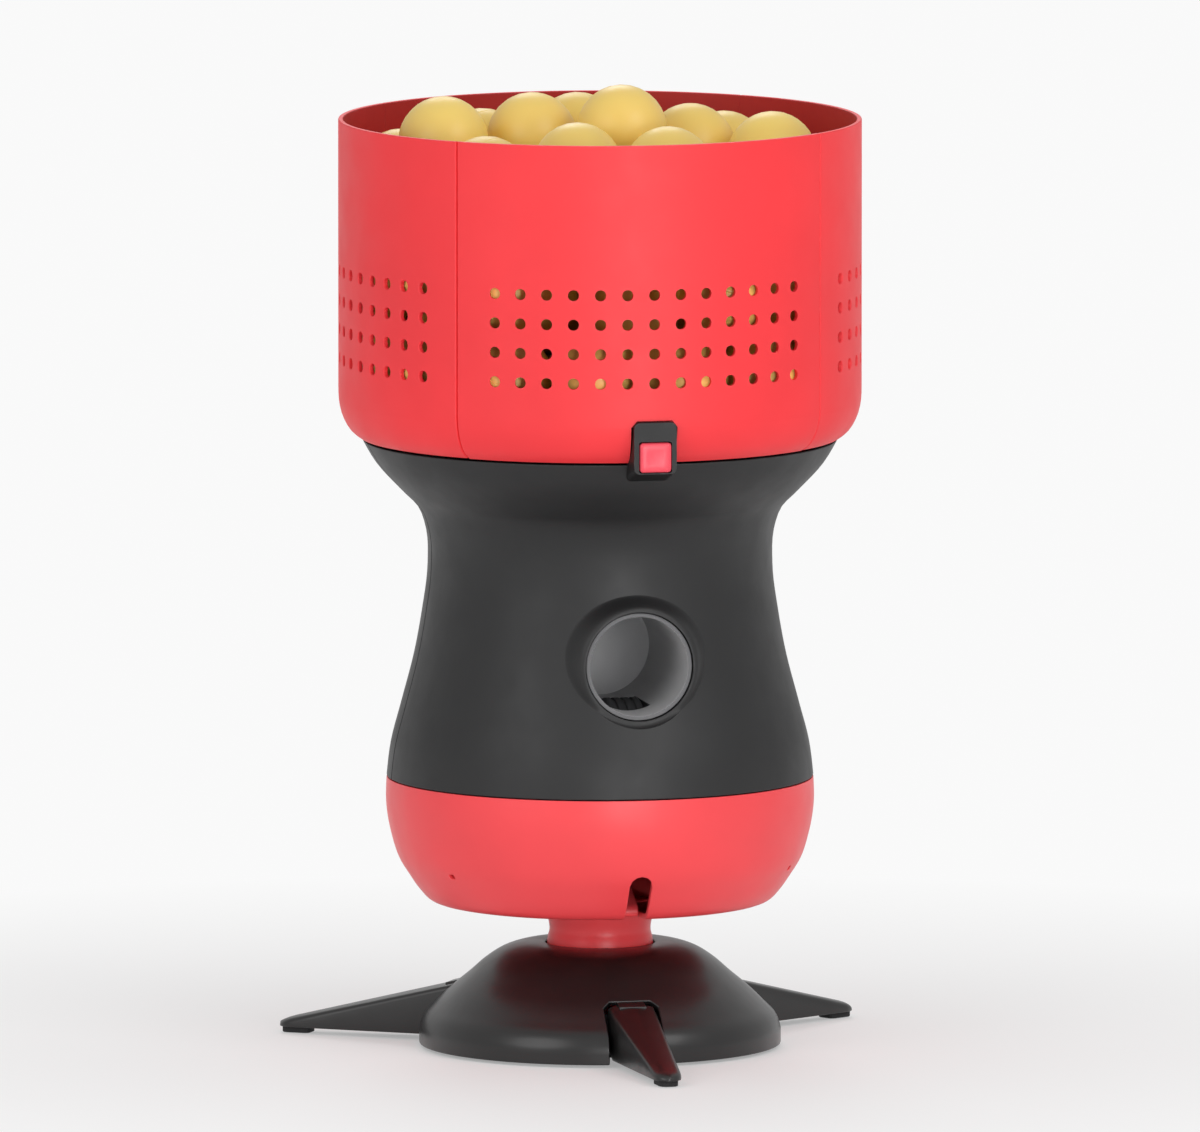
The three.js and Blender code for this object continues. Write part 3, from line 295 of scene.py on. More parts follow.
def box_line(left, right, bottom, top, setback, steps=6):
    """A closed outline of a rectangle with soft corners."""
    corners = ((left, bottom), (right, bottom), (right, top), (left, top))
    return rounded([(*corner, setback) for corner in corners], steps)


def window(half, height, inset, setback, steps=6):
    """A soft rectangle with its middle at a height, drawn in by an inset."""
    width, up = half[0] - inset, half[1] - inset
    return box_line(-width, width, height - up, height + up, setback, steps)


def in_mm(corners):
    return [tuple(value * MM for value in corner) for corner in corners]


def arc(middle, radius, start, end, count):
    turns = np.linspace(start, end, count)
    return [(middle[0] + radius * cos(a), middle[1] + radius * sin(a)) for a in turns]


def tab(radius, foot):
    """A tab with a flat foot that is round about the tilt pin."""
    return [(-radius, foot), (radius, foot), *arc((0, TILT_HEIGHT), radius, 0, pi, 18)]


def with_height(line, height):
    """The line with a point added at that height, and the new point's index."""
    heights = line[:, 1]
    k = int(np.searchsorted(heights, height))
    point = (np.interp(height, heights, line[:, 0]), height)
    if abs(heights[min(k, len(line) - 1)] - height) < 0.2 * MM:
        line = line.copy()
        line[k] = point
        return line, k
    return np.insert(line, k, point, axis=0), k


def drawn_in(line, wall, bottom=-1.0, top=10.0):
    """The inner side of a wall, from its outer line, kept between two heights."""
    tangent = np.gradient(line, axis=0)
    tangent /= np.linalg.norm(tangent, axis=1)[:, None]
    inner = line - np.stack([tangent[:, 1], -tangent[:, 0]], axis=1) * wall
    inner[:, 1] = np.clip(inner[:, 1], bottom, top)
    return inner


def line_at(line, row):
    """The radius and height of a line at a row, which may lie between two of its points."""
    steps = np.arange(len(line))
    return float(np.interp(row, steps, line[:, 0])), float(np.interp(row, steps, line[:, 1]))


def set_along(axis, middle, ring):
    """Points (across, up, along) set along an axis through middle."""
    order = {"X": (2, 0, 1), "Y": (0, 2, 1), "Z": (0, 1, 2)}[axis]
    return [Vector([point[i] for i in order]) + Vector(middle) for point in ring]


class Form:
    """A mesh in the making, to which forms are added one after another."""

    def __init__(self):
        self.points = []
        self.faces = []

    def add(self, points, faces):
        start = len(self.points)
        self.points += [tuple(map(float, p)) for p in points]
        self.faces += [tuple(start + i for i in face) for face in faces]
        return self

    def loft(self, rings, closed=False):
        """A skin over closed rings of points, capped at both ends unless it closes on itself."""
        count = len(rings[0])
        faces = []
        for k in range(len(rings) if closed else len(rings) - 1):
            a, b = k * count, (k + 1) % len(rings) * count
            for i in range(count):
                j = (i + 1) % count
                faces.append((a + i, a + j, b + j, b + i))
        if not closed:
            last = (len(rings) - 1) * count
            faces += [tuple(range(count)), tuple(range(last, last + count))]
        return self.add([p for ring in rings for p in ring], faces)

    def turned(self, outline, axis="Z", middle=(0, 0, 0), sides=96):
        """A closed outline of (radius, along) points, turned round an axis through middle."""
        rings = []
        for k in range(sides):
            c, s = cos(2 * pi * k / sides), sin(2 * pi * k / sides)
            rings.append(set_along(axis, middle, [(r * c, r * s, along) for r, along in outline]))
        return self.loft(rings, closed=True)

    def pushed(self, outline, start, end, axis, middle=(0, 0, 0)):
        """A closed flat outline, pushed along an axis from start to end."""
        rings = [[(u, v, along) for u, v in outline] for along in (start, end)]
        return self.loft([set_along(axis, middle, ring) for ring in rings])

    def moved(self, matrix):
        self.points = [tuple(matrix @ Vector(p)) for p in self.points]
        return self


class Wall:
    """A turned wall, laid out in rows along its outline and columns round the axis.
    angle(column, row) says where a column stands, and within(angle) where on the inner side.
    A wall without within closes on itself. slots holds the columns in slots, the row that slots
    reach, the rows of their arched ends, half their width and their corners' radius."""

    def __init__(
        self, outer, inner, columns, angle=None, within=None, slots=({}, 0, 1, 0, 1), disc=False
    ):
        self.outer = np.array(outer, float)
        self.inner = np.array(inner, float)
        self.columns = columns
        self.angle = angle or (lambda column, row: 2 * pi * column / columns)
        self.closed = not within
        self.within = within or (lambda turn: turn)
        self.slots = slots
        self.disc = disc
        self.level = self.outer[:, 0] if disc else self.outer[:, 1]
        self.openings = []
        marks, top = slots[:2]
        self.hidden = {(i, j) for i in marks if i + 1 in marks for j in range(top)}

    def row_at(self, level):
        return float(np.interp(level, self.level, np.arange(len(self.level))))

    def lift(self, column, row):
        """How many rows a point moves up where a slot ends in an arch."""
        marks, top, rows, half, corner = self.slots
        share = (row - top) / rows
        if column not in marks or not 0 <= share <= 1:
            return 0
        over = max(0, abs(marks[column]) * half - (half - corner)) / corner
        step = np.linalg.norm(self.outer[top + 1] - self.outer[top])
        return sqrt(max(0, 1 - over ** 2)) * corner / step * (1 - share)

    def flat(self, column, row):
        row = row + self.lift(column, row)
        return self.angle(column, row), row

    def hide(self, columns, rows):
        self.hidden |= {(i, j) for i in range(*columns) for j in range(*rows)}

    def opening(self, columns, rows, angle, level, half, power=2, rings=(0.5,)):
        """Cuts a round (power 2) or squarish hole at that angle and level, inside that block."""
        (left, right), (bottom, top) = columns, rows
        self.hide(columns, rows)
        border = [(i, bottom) for i in range(left, right)]
        border += [(right, j) for j in range(bottom, top)]
        border += [(i, top) for i in range(right, left, -1)]
        border += [(left, j) for j in range(top, bottom, -1)]
        start = np.array([self.flat(*spot) for spot in border])
        edge = np.array([self.edge_point(*spot, angle, level, half, power) for spot in start])
        self.openings.append((border, [(1 - s) * start + s * edge for s in (*rings, 1)]))

    def edge_point(self, at_angle, at_row, angle, level, half, power):
        radius = line_at(self.outer, at_row)[0]
        at_level = float(np.interp(at_row, np.arange(len(self.level)), self.level))
        turn = atan2((at_level - level) / half[1], radius * (at_angle - angle) / half[0])
        c, s = cos(turn), sin(turn)
        across = half[0] * copysign(abs(c) ** (2 / power), c)
        up = half[1] * copysign(abs(s) ** (2 / power), s)
        if self.disc:
            reach = level + up
            return angle + atan2(across, reach), self.row_at(hypot(reach, across))
        row = self.row_at(level + up)
        return angle + asin(across / line_at(self.outer, row)[0]), row

    def form(self):
        flat, faces, index = [], [], {}

        def grid(column, row):
            key = (column % self.columns if self.closed else column, row)
            if key not in index:
                index[key] = len(flat)
                flat.append(self.flat(*key))
            return index[key]

        for i in range(self.columns):
            for j in range(len(self.outer) - 1):
                if (i, j) not in self.hidden:
                    faces.append((grid(i, j), grid(i + 1, j), grid(i + 1, j + 1), grid(i, j + 1)))
        for border, loops in self.openings:
            ring = [grid(*spot) for spot in border]
            for loop in loops:
                following = list(range(len(flat), len(flat) + len(loop)))
                flat += list(loop)
                for k in range(len(ring)):
                    n = (k + 1) % len(ring)
                    faces.append((ring[k], ring[n], following[n], following[k]))
                ring = following
        points = []
        for line, side in ((self.outer, lambda turn: turn), (self.inner, self.within)):
            for turn, row in flat:
                radius, height = line_at(line, row)
                points.append((radius * cos(side(turn)), radius * sin(side(turn)), height))
        return Form().add(points, faces + thickness(faces, len(flat)))


def thickness(faces, count):
    """The inner side of a skin and the faces along its open edges."""
    uses = {}
    for face in faces:
        for a, b in zip(face, face[1:] + face[:1]):
            uses.setdefault(frozenset((a, b)), []).append((a, b))
    rim = [pairs[0] for pairs in uses.values() if len(pairs) == 1]
    inside = [tuple(count + i for i in reversed(face)) for face in faces]
    return inside + [(b, a, count + a, count + b) for a, b in rim]


def slotted(outer, inner, count, marks, between, row, rows, half, corner):
    """A closed wall with that many slots, evenly spaced from the front. Across a slot the columns
    stand at marks from -1 to 1."""
    inside = len(marks) - 1
    pitch = 2 * pi / count
    starts = range(0, count * (inside + between), inside + between)
    slots = {start + k: mark for start in starts for k, mark in enumerate(marks)}

    def angle(column, row):
        part, k = divmod(column, inside + between)
        start = FRONT + part * pitch
        aside = min(0.9, half / line_at(outer, row)[0])
        if k <= inside:
            return start + asin(aside * marks[k])
        edge = asin(aside)
        return start + edge + (k - inside) / between * (pitch - 2 * edge)

    columns = count * (inside + between)
    return Wall(outer, inner, columns, angle, slots=(slots, row, rows, half, corner))


# Materials
def srgb(red, green, blue):
    """A colour given as 0 to 255 values, as the linear one that a shader takes."""
    values = []
    for channel in (red, green, blue):
        share = channel / 255
        values.append(share / 12.92 if share <= 0.04045 else ((share + 0.055) / 1.055) ** 2.4)
    return (*values, 1.0)


def tinted(color, factor):
    return tuple(min(1, c * factor) for c in color[:3]) + (1.0,)


class Nodes:
    """The node tree of a material or the world, built by short calls."""

    def __init__(self, owner, shader="Principled BSDF"):
        owner.use_nodes = True
        self.tree = owner.node_tree
        self.shader = self.tree.nodes[shader]

    def feed(self, socket, value):
        """Links a socket to another, or gives it a value."""
        if isinstance(value, bpy.types.NodeSocket):
            self.tree.links.new(value, socket)
        else:
            socket.default_value = value

    def into(self, key, value):
        self.feed(self.shader.inputs[key], value)

    def node(self, kind, *sockets, **values):
        """A new node, with values for its first sockets, and for sockets and settings by name."""
        node = self.tree.nodes.new("ShaderNode" + kind)
        for key, value in values.items():
            if key in node.inputs:
                self.feed(node.inputs[key], value)
            else:
                setattr(node, key, value)
        for socket, value in zip(node.inputs, sockets):
            self.feed(socket, value)
        return node

    def calc(self, operation, *values, kind="Math"):
        return self.node(kind, *values, operation=operation).outputs["Value"]

    def place(self):
        return self.node("TexCoord").outputs["Object"]

    def noise(self, scale, detail=2.0, roughness=0.5, stretch=None):
        place = self.place()
        if stretch:
            place = self.node("Mapping", Scale=stretch, Vector=place).outputs["Vector"]
        noise = self.node("TexNoise", Scale=scale, Detail=detail, Roughness=roughness, Vector=place)
        return noise.outputs["Fac"]

    def ranged(self, source, *ends):
        """A value in the range of the first two ends, as one between the last two, or 0 and 1."""
        return self.node("MapRange", source, *ends).outputs["Result"]

    def mixed(self, factor, first, second):
        node = self.node("Mix", factor, data_type="RGBA")
        self.feed(node.inputs[6], first)
        self.feed(node.inputs[7], second)
        return node.outputs[2]

    def bump(self, source, strength, distance):
        node = self.node("Bump", Strength=strength, Distance=distance, Height=source)
        self.into("Normal", node.outputs["Normal"])

    def edges(self, radius):
        """How sharply the surface turns near a point, from 0 on flat stretches."""
        soft = self.node("Bevel", Radius=radius).outputs["Normal"]
        true = self.node("NewGeometry").outputs["Normal"]
        return self.ranged(self.calc("DOT_PRODUCT", soft, true, kind="VectorMath"), 0.995, 0.86)

    def seen(self, mirrored=1.0):
        """1 for rays from the camera or clear plastic, and the given share for rays from a mirror."""
        path = self.node("LightPath").outputs
        share = self.calc("MULTIPLY", path["Is Glossy Ray"], mirrored)
        share = self.calc("MAXIMUM", path["Is Camera Ray"], share)
        return self.calc("MAXIMUM", share, path["Is Transmission Ray"])


finishes = {}


def new_finish(name):
    finishes[name] = bpy.data.materials.new(name)
    return Nodes(finishes[name])


def plastic(name, rgb, roughness, grain=0.12, coat=0.0, coat_roughness=0.1, wear=0.25):
    """Moulded plastic with a fine grain, faint flow marks and paler edges."""
    color = srgb(*rgb)
    m = new_finish(name)
    flow = m.ranged(m.noise(14, 3), 0.3, 0.7)
    body = m.mixed(flow, tinted(color, 0.95), tinted(color, 1.05))
    worn = m.ranged(m.noise(220, 4), 0.45, 0.75, 0, wear)
    pale = tuple(c + (0.8 - c) * 0.35 for c in color[:3]) + (1.0,)
    m.into("Base Color", m.mixed(m.calc("MULTIPLY", m.edges(0.9 * MM), worn), body, pale))
    scuff = m.ranged(m.noise(70, 3), 0.3, 0.75, roughness - 0.03, roughness + 0.05)
    m.into("Roughness", scuff)
    if grain:
        m.bump(m.noise(900), grain, 0.15 * MM)
    m.into("Coat Weight", coat)
    m.into("Coat Roughness", coat_roughness)


def metal(name, rgb, roughness, brushed=(1, 1, 1)):
    """Metal with a fine brushed grain."""
    color = srgb(*rgb)
    m = new_finish(name)
    grain = m.noise(500, 3, 0.6, brushed)
    m.into("Base Color", m.mixed(grain, tinted(color, 0.8), tinted(color, 1.1)))
    m.into("Roughness", m.ranged(grain, 0.2, 0.8, roughness - 0.08, roughness + 0.1))
    m.bump(grain, 0.1, 0.1 * MM)
    m.into("Metallic", 1.0)


def rubber(name, rgb):
    """Matt rubber with a coarse grain and dust."""
    color = srgb(*rgb)
    m = new_finish(name)
    dust = m.ranged(m.noise(60, 4, 0.6), 0.5, 0.8, 0, 0.35)
    m.into("Base Color", m.mixed(dust, color, tinted(color, 2.2)))
    m.bump(m.noise(1200), 0.3, 0.2 * MM)
    m.into("Roughness", 0.8)


def celluloid(name, rgb):
    """The balls: slightly see-through plastic, each a little different."""
    color = srgb(*rgb)
    m = new_finish(name)
    own = m.node("NewGeometry").outputs["Random Per Island"]
    shade = m.mixed(own, tinted(color, 0.95), tinted(color, 1.04))
    cloud = m.ranged(m.noise(45, 3), 0.35, 0.75, 0, 0.35)
    m.into("Base Color", m.mixed(cloud, shade, tinted(color, 1.08)))
    m.into("Roughness", m.ranged(m.noise(90, 4), 0.3, 0.7, 0.36, 0.48))
    m.bump(m.noise(1500), 0.06, 0.1 * MM)
    m.into("Subsurface Weight", 0.12)
    m.into("Subsurface Radius", (0.006, 0.004, 0.002))


def circuit_board(name):
    m = new_finish(name)
    colors = {"Color1": srgb(18, 74, 42), "Color2": srgb(20, 82, 46), "Mortar": srgb(60, 128, 70)}
    tracks = m.node("TexBrick", Scale=90, offset=0.5, Vector=m.place(), **colors)
    m.feed(tracks.inputs["Mortar Size"], 0.035)
    m.into("Base Color", tracks.outputs["Color"])
    m.bump(tracks.outputs["Fac"], 0.3, 0.05 * MM)
    m.into("Roughness", 0.35)


def clear_lens(name, rgb):
    color = srgb(*rgb)
    m = new_finish(name)
    m.into("Base Color", m.mixed(m.noise(200), tinted(color, 0.9), color))
    m.into("Roughness", 0.12)
    m.into("Transmission Weight", 0.5)
    m.into("IOR", 1.46)


plastic("red_hopper", (246, 51, 58), 0.52)
# The hopper's red in a darker copy for the inner faces of its wall: painted shade inside the hopper.
plastic("red_hopper_painted_shade", (176, 26, 30), 0.5)
plastic("red_shell", (248, 72, 78), 0.4)
plastic("red_feeder", (214, 44, 48), 0.45)
plastic("red_button", (244, 74, 92), 0.35)
plastic("black_shell", (26, 26, 27), 0.5)
plastic("black_trim", (13, 13, 14), 0.5)
plastic("black_gloss", (24, 23, 23), 0.34, grain=0, coat=0.2, coat_roughness=0.2, wear=0.1)
plastic("dark_plastic", (34, 34, 36), 0.55)
plastic("grey_plastic", (146, 147, 149), 0.4)
# A near-white grey for the chute and drop tube: painted light on the deep end seen through the ball
# exit.
plastic("chute_grey_painted_light", (240, 240, 241), 0.45)
# A paler grey for the bore's inner faces: painted light inside the tube, held below the chute's grey
# as painted shade on the bore wall.
plastic("bore_painted_light_and_shade", (178, 178, 179), 0.5)
# A dark grey for the barrel's outside and front lip: painted shade that dims the lip round the exit.
plastic("barrel_grey_painted_shade", (104, 104, 106), 0.5)
metal("steel", (176, 178, 182), 0.3)
metal("motor_can", (150, 152, 156), 0.36, (1, 8, 8))
rubber("rubber", (30, 30, 31))
rubber("wheel_rubber", (46, 46, 48))
celluloid("ball_orange", (255, 217, 117))
circuit_board("circuit_board")
plastic("battery_wrap", (38, 72, 140), 0.3, grain=0.03)
clear_lens("lens", (150, 226, 160))


# Pieces
def mesh_of(name, form):
    """A clean mesh from a form: points that coincide become one, and loose edges go."""
    bm = bmesh.new()
    points = [bm.verts.new(p) for p in form.points]
    for face in form.faces:
        bm.faces.new([points[i] for i in face])
    bmesh.ops.remove_doubles(bm, verts=bm.verts, dist=0.001 * MM)
    bmesh.ops.delete(bm, geom=[e for e in bm.edges if not e.link_faces], context="EDGES")
    bmesh.ops.recalc_face_normals(bm, faces=bm.faces)
    mesh = bpy.data.meshes.new(name)
    bm.to_mesh(mesh)
    bm.free()
    return mesh


def placed(name, data):
    obj = bpy.data.objects.new(name, data)
    bpy.context.scene.collection.objects.link(obj)
    return obj


def smoothed(mesh, sharp=35):
    mesh.shade_smooth()
    mesh.set_sharp_from_angle(angle=radians(sharp))


def piece(name, form, finish, body, node="", edge=0.5 * MM, sharp=35, segments=2):
    """An object from a form, with rounded edges, that rides on a body in place of a CAD node. Its one
    slot holds its finish."""
    mesh = mesh_of(name, form)
    smoothed(mesh, sharp)
    mesh.materials.append(finishes[finish])
    obj = placed(name, mesh)
    if edge:
        round_edges(obj, edge, sharp, segments)
    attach(obj, body)
    if node:
        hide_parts(node)
    return obj


def face_inwards(obj, finish, middle=(0, 0, 0), axis=2):
    """Gives the faces that look towards an axis a finish of their own."""
    mesh = obj.data
    mesh.materials.append(finishes[finish])
    for face in mesh.polygons:
        inward = Vector(middle) - face.center
        inward[axis] = 0
        if inward.length > 0 and inward.normalized().dot(face.normal) > 0.7:
            face.material_index = 1


def round_edges(obj, width, sharp=35, segments=2):
    bevel = obj.modifiers.new("rounded edges", "BEVEL")
    bevel.width = width
    bevel.segments = segments
    bevel.limit_method = "ANGLE"
    bevel.angle_limit = radians(sharp)
    bevel.harden_normals = True


def drill(obj, radius, x, start, end):
    """Bores a hole along Y into an object's mesh, at the rear panel's height."""
    line = [(0, start), (radius, start), (radius, end), (0, end)]
    hole = Form().turned(line, "Y", (x, 0, PANEL_HEIGHT), 40)
    cutter = placed("cutter", mesh_of("cutter", hole))
    cut = obj.modifiers.new("hole", "BOOLEAN")
    cut.operation = "DIFFERENCE"
    cut.solver = "EXACT"
    cut.object = cutter
    bpy.context.view_layer.update()
    depsgraph = bpy.context.evaluated_depsgraph_get()
    result = bpy.data.meshes.new_from_object(obj.evaluated_get(depsgraph))
    obj.modifiers.remove(cut)
    obj.data = result
    bpy.data.objects.remove(cutter)
    smoothed(result)


def paint(nodes, finish, edge=0.0):
    """Gives CAD nodes that stay a material, and rounded edges if a width is given."""
    for name in nodes:
        node = frame["nodes"][name]
        for place in node.material_slots:
            place.material = finishes[finish]
        if not node.material_slots:
            node.data.materials.append(finishes[finish])
        if edge:
            round_edges(node, edge, 30)


def base_cover():
    dome = [(BASE_RADIUS * out, BASE_TOP * up) for out, up in DOME_SHARES]
    dome = curve(dome + [(NECK_HOLE, BASE_TOP)], 40)
    skirt = [(BASE_RADIUS, h) for h in np.linspace(BASE_BOTTOM, dome[0][1], 4)[:-1]]
    outer, row = with_height(np.vstack([skirt, dome]), LEG_SLOT_TOP - LEG_SLOT_CORNER)
    inner = drawn_in(outer, BASE_WALL, bottom=BASE_BOTTOM)
    inner[-1, 0] = NECK_HOLE
    marks = np.linspace(-1, 1, 9)
    wall = slotted(outer, inner, 3, marks, 24, row, 5, LEG_SLOT_HALF, LEG_SLOT_CORNER)
    piece("base_dome", wall.form(), "black_gloss", "base", "base_cover", edge=0.6 * MM)


def leg_form():
    """A leg along +X: a knuckle on the pivot and a blade that tapers to a rounded tip."""
    root = LEG_ROOT + 4 * MM
    side = arc(LEG_PIVOT, LEG_KNUCKLE, pi / 2, 3 * pi / 2, 14)
    side += [(LEG_ROOT, 9 * MM), (root, 8 * MM), (root, LEG_TOP - 1.5 * MM), (LEG_CREST, LEG_TOP)]
    form = Form().pushed(side, -LEG_KNUCKLE_HALF, LEG_KNUCKLE_HALF, "Y")
    tip = LEG_REACH - LEG_TIP_ROUND
    rings = []
    for share in (0, 0.03, 0.12, 0.3, 0.5, 0.7, 0.85):
        rings.append(leg_section(LEG_ROOT + share * (tip - LEG_ROOT), 1))
    for turn in np.radians([0, 25, 45, 62, 76, 86]):
        rings.append(leg_section(tip + LEG_TIP_ROUND * sin(turn), cos(turn)))
    return form.loft(rings)


def leg_section(x, roundness):
    """The blade's cross-section at x: a flat underside, soft sides and a low ridge along the top."""
    share = (x - LEG_ROOT) / (LEG_REACH - LEG_ROOT)
    half = (LEG_ROOT_HALF + (LEG_TIP_HALF - LEG_ROOT_HALF) * share) * max(roundness, 0.12)
    fall = (x - LEG_CREST) / (LEG_REACH - LEG_CREST)
    top = LEG_TOP + (LEG_TIP_HEIGHT - LEG_TOP) * fall
    heel_length, heel_height = LEG_HEEL
    bottom = LEG_UNDERSIDE + max(0, 1 - (x - LEG_ROOT) / heel_length) * heel_height
    if roundness < 1:
        top = bottom + (top - bottom) * (0.55 + 0.45 * roundness)
    edge = top - LEG_EDGE
    soft = min(1.8 * MM, 0.4 * half)
    corners = [(-half, bottom, 0.6 * MM), (half, bottom, 0.6 * MM), (half * 0.94, edge, soft)]
    corners += [(0, top, half * 0.5), (-half * 0.94, edge, soft)]
    return [(x, y, z) for y, z in rounded(corners, 4)]


def legs():
    for side, angle in LEG_ANGLES.items():
        turn = Matrix.Rotation(angle, 4, "Z")
        body = f"{side}_leg"
        piece(f"leg_{side}_blade", leg_form().moved(turn), "black_gloss", body, f"leg_{side}")
        pad = Form().pushed(rounded(in_mm(FOOT_LINE), 6), 0, LEG_UNDERSIDE, "Z").moved(turn)
        piece(f"leg_foot_{side}", pad, "rubber", body, f"leg_pad_{side}", edge=0.4 * MM)


def neck():
    column = [
        (0, NECK_BOTTOM, 0),
        (SPINDLE_RADIUS, NECK_BOTTOM, 0.6 * MM),
        (SPINDLE_RADIUS, COLUMN_BOTTOM, 0),
        (COLUMN_RADIUS, COLUMN_BOTTOM, 0.6 * MM),
        (COLUMN_RADIUS, SHOULDER, 0),
        (NECK_RADIUS, SHOULDER + 1 * MM, 1.2 * MM),
        (NECK_RADIUS, BASE_TOP + 2 * MM, 5 * MM),
        (NECK_RADIUS - 1.6 * MM, BASE_TOP + 6 * MM, 4 * MM),
        (NECK_FLARE, BOWL_BOTTOM + 1 * MM, 4 * MM),
        (NECK_FLARE - 1.5 * MM, NECK_TOP, 1 * MM),
        (0, NECK_TOP, 0),
    ]
    form = Form().turned(rounded(column))
    block = tab(TILT_BLOCK_RADIUS, NECK_TOP - 3 * MM)
    form.pushed(block, -TILT_BLOCK_HALF, TILT_BLOCK_HALF, "X")
    form.pushed(rounded(in_mm(FIN_LINE)), -FIN_HALF, FIN_HALF, "X")
    piece("neck_post", form, "red_shell", "turntable", "turntable_neck", edge=0.6 * MM)


def lower_bowl():
    height = BOWL_TOP - BOWL_BOTTOM
    side = [(BOWL_RADIUS * out, BOWL_BOTTOM + height * up) for out, up in BOWL_SHARES]
    side = curve(side, 46)
    under = [(r, BOWL_BOTTOM) for r in np.linspace(BOWL_HOLE, side[0][0], 6)[:-1]]
    outer = np.vstack([under, side])
    row = int(np.argmax(outer[:, 1] > TILT_SLOT_TOP - TILT_SLOT_HALF))
    inner = drawn_in(outer, BOWL_WALL, top=BOWL_TOP)
    inner[0, 0] = BOWL_HOLE
    marks, around = (-1, -0.86, -0.5, 0, 0.5, 0.86, 1), 90
    wall = slotted(outer, inner, 1, marks, around, row, 7, TILT_SLOT_HALF, TILT_SLOT_HALF)
    bottom = int(wall.row_at(SCREW_HEIGHT)) - 1
    for turn in SCREW_TURNS:
        column = len(marks) - 1 + round((turn + 90) / 360 * around) - 2
        block = (column, column + 4), (bottom, bottom + 3)
        wall.opening(*block, radians(turn), SCREW_HEIGHT, (SCREW_HOLE, SCREW_HOLE))
    form = wall.form()
    for sign in (-1, 1):
        start = sign * (BOWL_HOLE + EAR_THICKNESS)
        form.pushed(tab(EAR_RADIUS, BOWL_BOTTOM + BOWL_WALL / 2), start, sign * BOWL_HOLE, "X")
    piece("bowl_shell", form, "red_shell", "head", "lower_bowl", edge=0.6 * MM)


def head_line(count):
    """The outer line of the head shells, from foot to top."""
    waist = SHELL_BOTTOM + (SHELL_TOP - SHELL_BOTTOM) * WAIST_SHARE
    widening = BOWL_RADIUS * BOWL_SHARES[-1][0] - WAIST_RADIUS
    flare = FLARE_RADIUS - WAIST_RADIUS
    rise = waist - SHELL_BOTTOM
    line = [(WAIST_RADIUS + widening * out, SHELL_BOTTOM + rise * up) for up, out in BODY_SHARES]
    rise = SHELL_TOP - waist
    line += [(WAIST_RADIUS + flare * out, waist + rise * up) for up, out in FLARE_SHARES]
    return curve(line, count)


def head_surface(x, z):
    """How far the head reaches along Y at a place across and up."""
    line = head_line(60)
    return np.sqrt(np.interp(z, line[:, 1], line[:, 0]) ** 2 - x ** 2)


def head_wall(middle, level, half, **cut):
    """Half of the head, with a hole of that half size in its middle at that height."""
    outer = head_line(43)
    inner = drawn_in(outer, SHELL_WALL, SHELL_BOTTOM, SHELL_TOP)
    columns = 72

    def angle(column, row):
        reach = radians(90) - SHELL_SEAM / 2 / line_at(outer, row)[0]
        return middle + reach * (2 * column / columns - 1)

    def within(turn):
        return middle + (turn - middle) * (1 + SEAM_OVERLAP / WAIST_RADIUS)

    wall = Wall(outer, inner, columns, angle, within)
    radius = line_at(outer, wall.row_at(level))[0]
    spread = ceil(asin(half[0] / radius) / pi * columns) + 2
    bottom = int(wall.row_at(level - half[1])) - 2
    top = ceil(wall.row_at(level + half[1])) + 2
    block = (columns // 2 - spread, columns // 2 + spread), (bottom, top)
    wall.opening(*block, middle, level, half, **cut)
    return wall.form()


def head_shells():
    front = head_wall(FRONT, EXIT_HEIGHT, (EXIT_RADIUS, EXIT_RADIUS), rings=(0.45, 0.8))
    piece("head_front", front, "black_shell", "head", "front_shell", edge=0.7 * MM)
    rear = head_wall(-FRONT, PANEL_HEIGHT, CUT_HALF, power=9, rings=(0.5, 0.85))
    piece("head_rear", rear, "black_shell", "head", "rear_shell")


def exit_collar():
    """The lip round the ball exit, which runs out into the curved shell."""
    sides = 96
    turns = np.linspace(0, 2 * pi, sides, endpoint=False)
    reach = np.full(sides, COLLAR_REACH)
    for _ in range(6):
        surface = -head_surface(reach * np.cos(turns), EXIT_HEIGHT + reach * np.sin(turns))
        reach = COLLAR_REACH + COLLAR_SLOPE * np.abs(surface - RING_FRONT)
    surface += COLLAR_SINK
    rings = [(RING_INNER, RING_BACK), (RING_INNER, RING_FRONT)]
    for s in np.linspace(0, 1, 9):
        depth = RING_FRONT + (surface - RING_FRONT) * (s * s * (3 - 2 * s))
        rings.append((COLLAR_LIP + (reach - COLLAR_LIP) * s, depth))
    rings.append((RING_OUTER, RING_BACK))
    loops = []
    for radius, depth in rings:
        x, z = radius * np.cos(turns), EXIT_HEIGHT + radius * np.sin(turns)
        loops.append(list(zip(x, np.broadcast_to(depth, sides), z)))
    lip = Form().loft(loops, closed=True)
    piece("exit_trim", lip, "black_shell", "head", "exit_ring", 0.4 * MM)


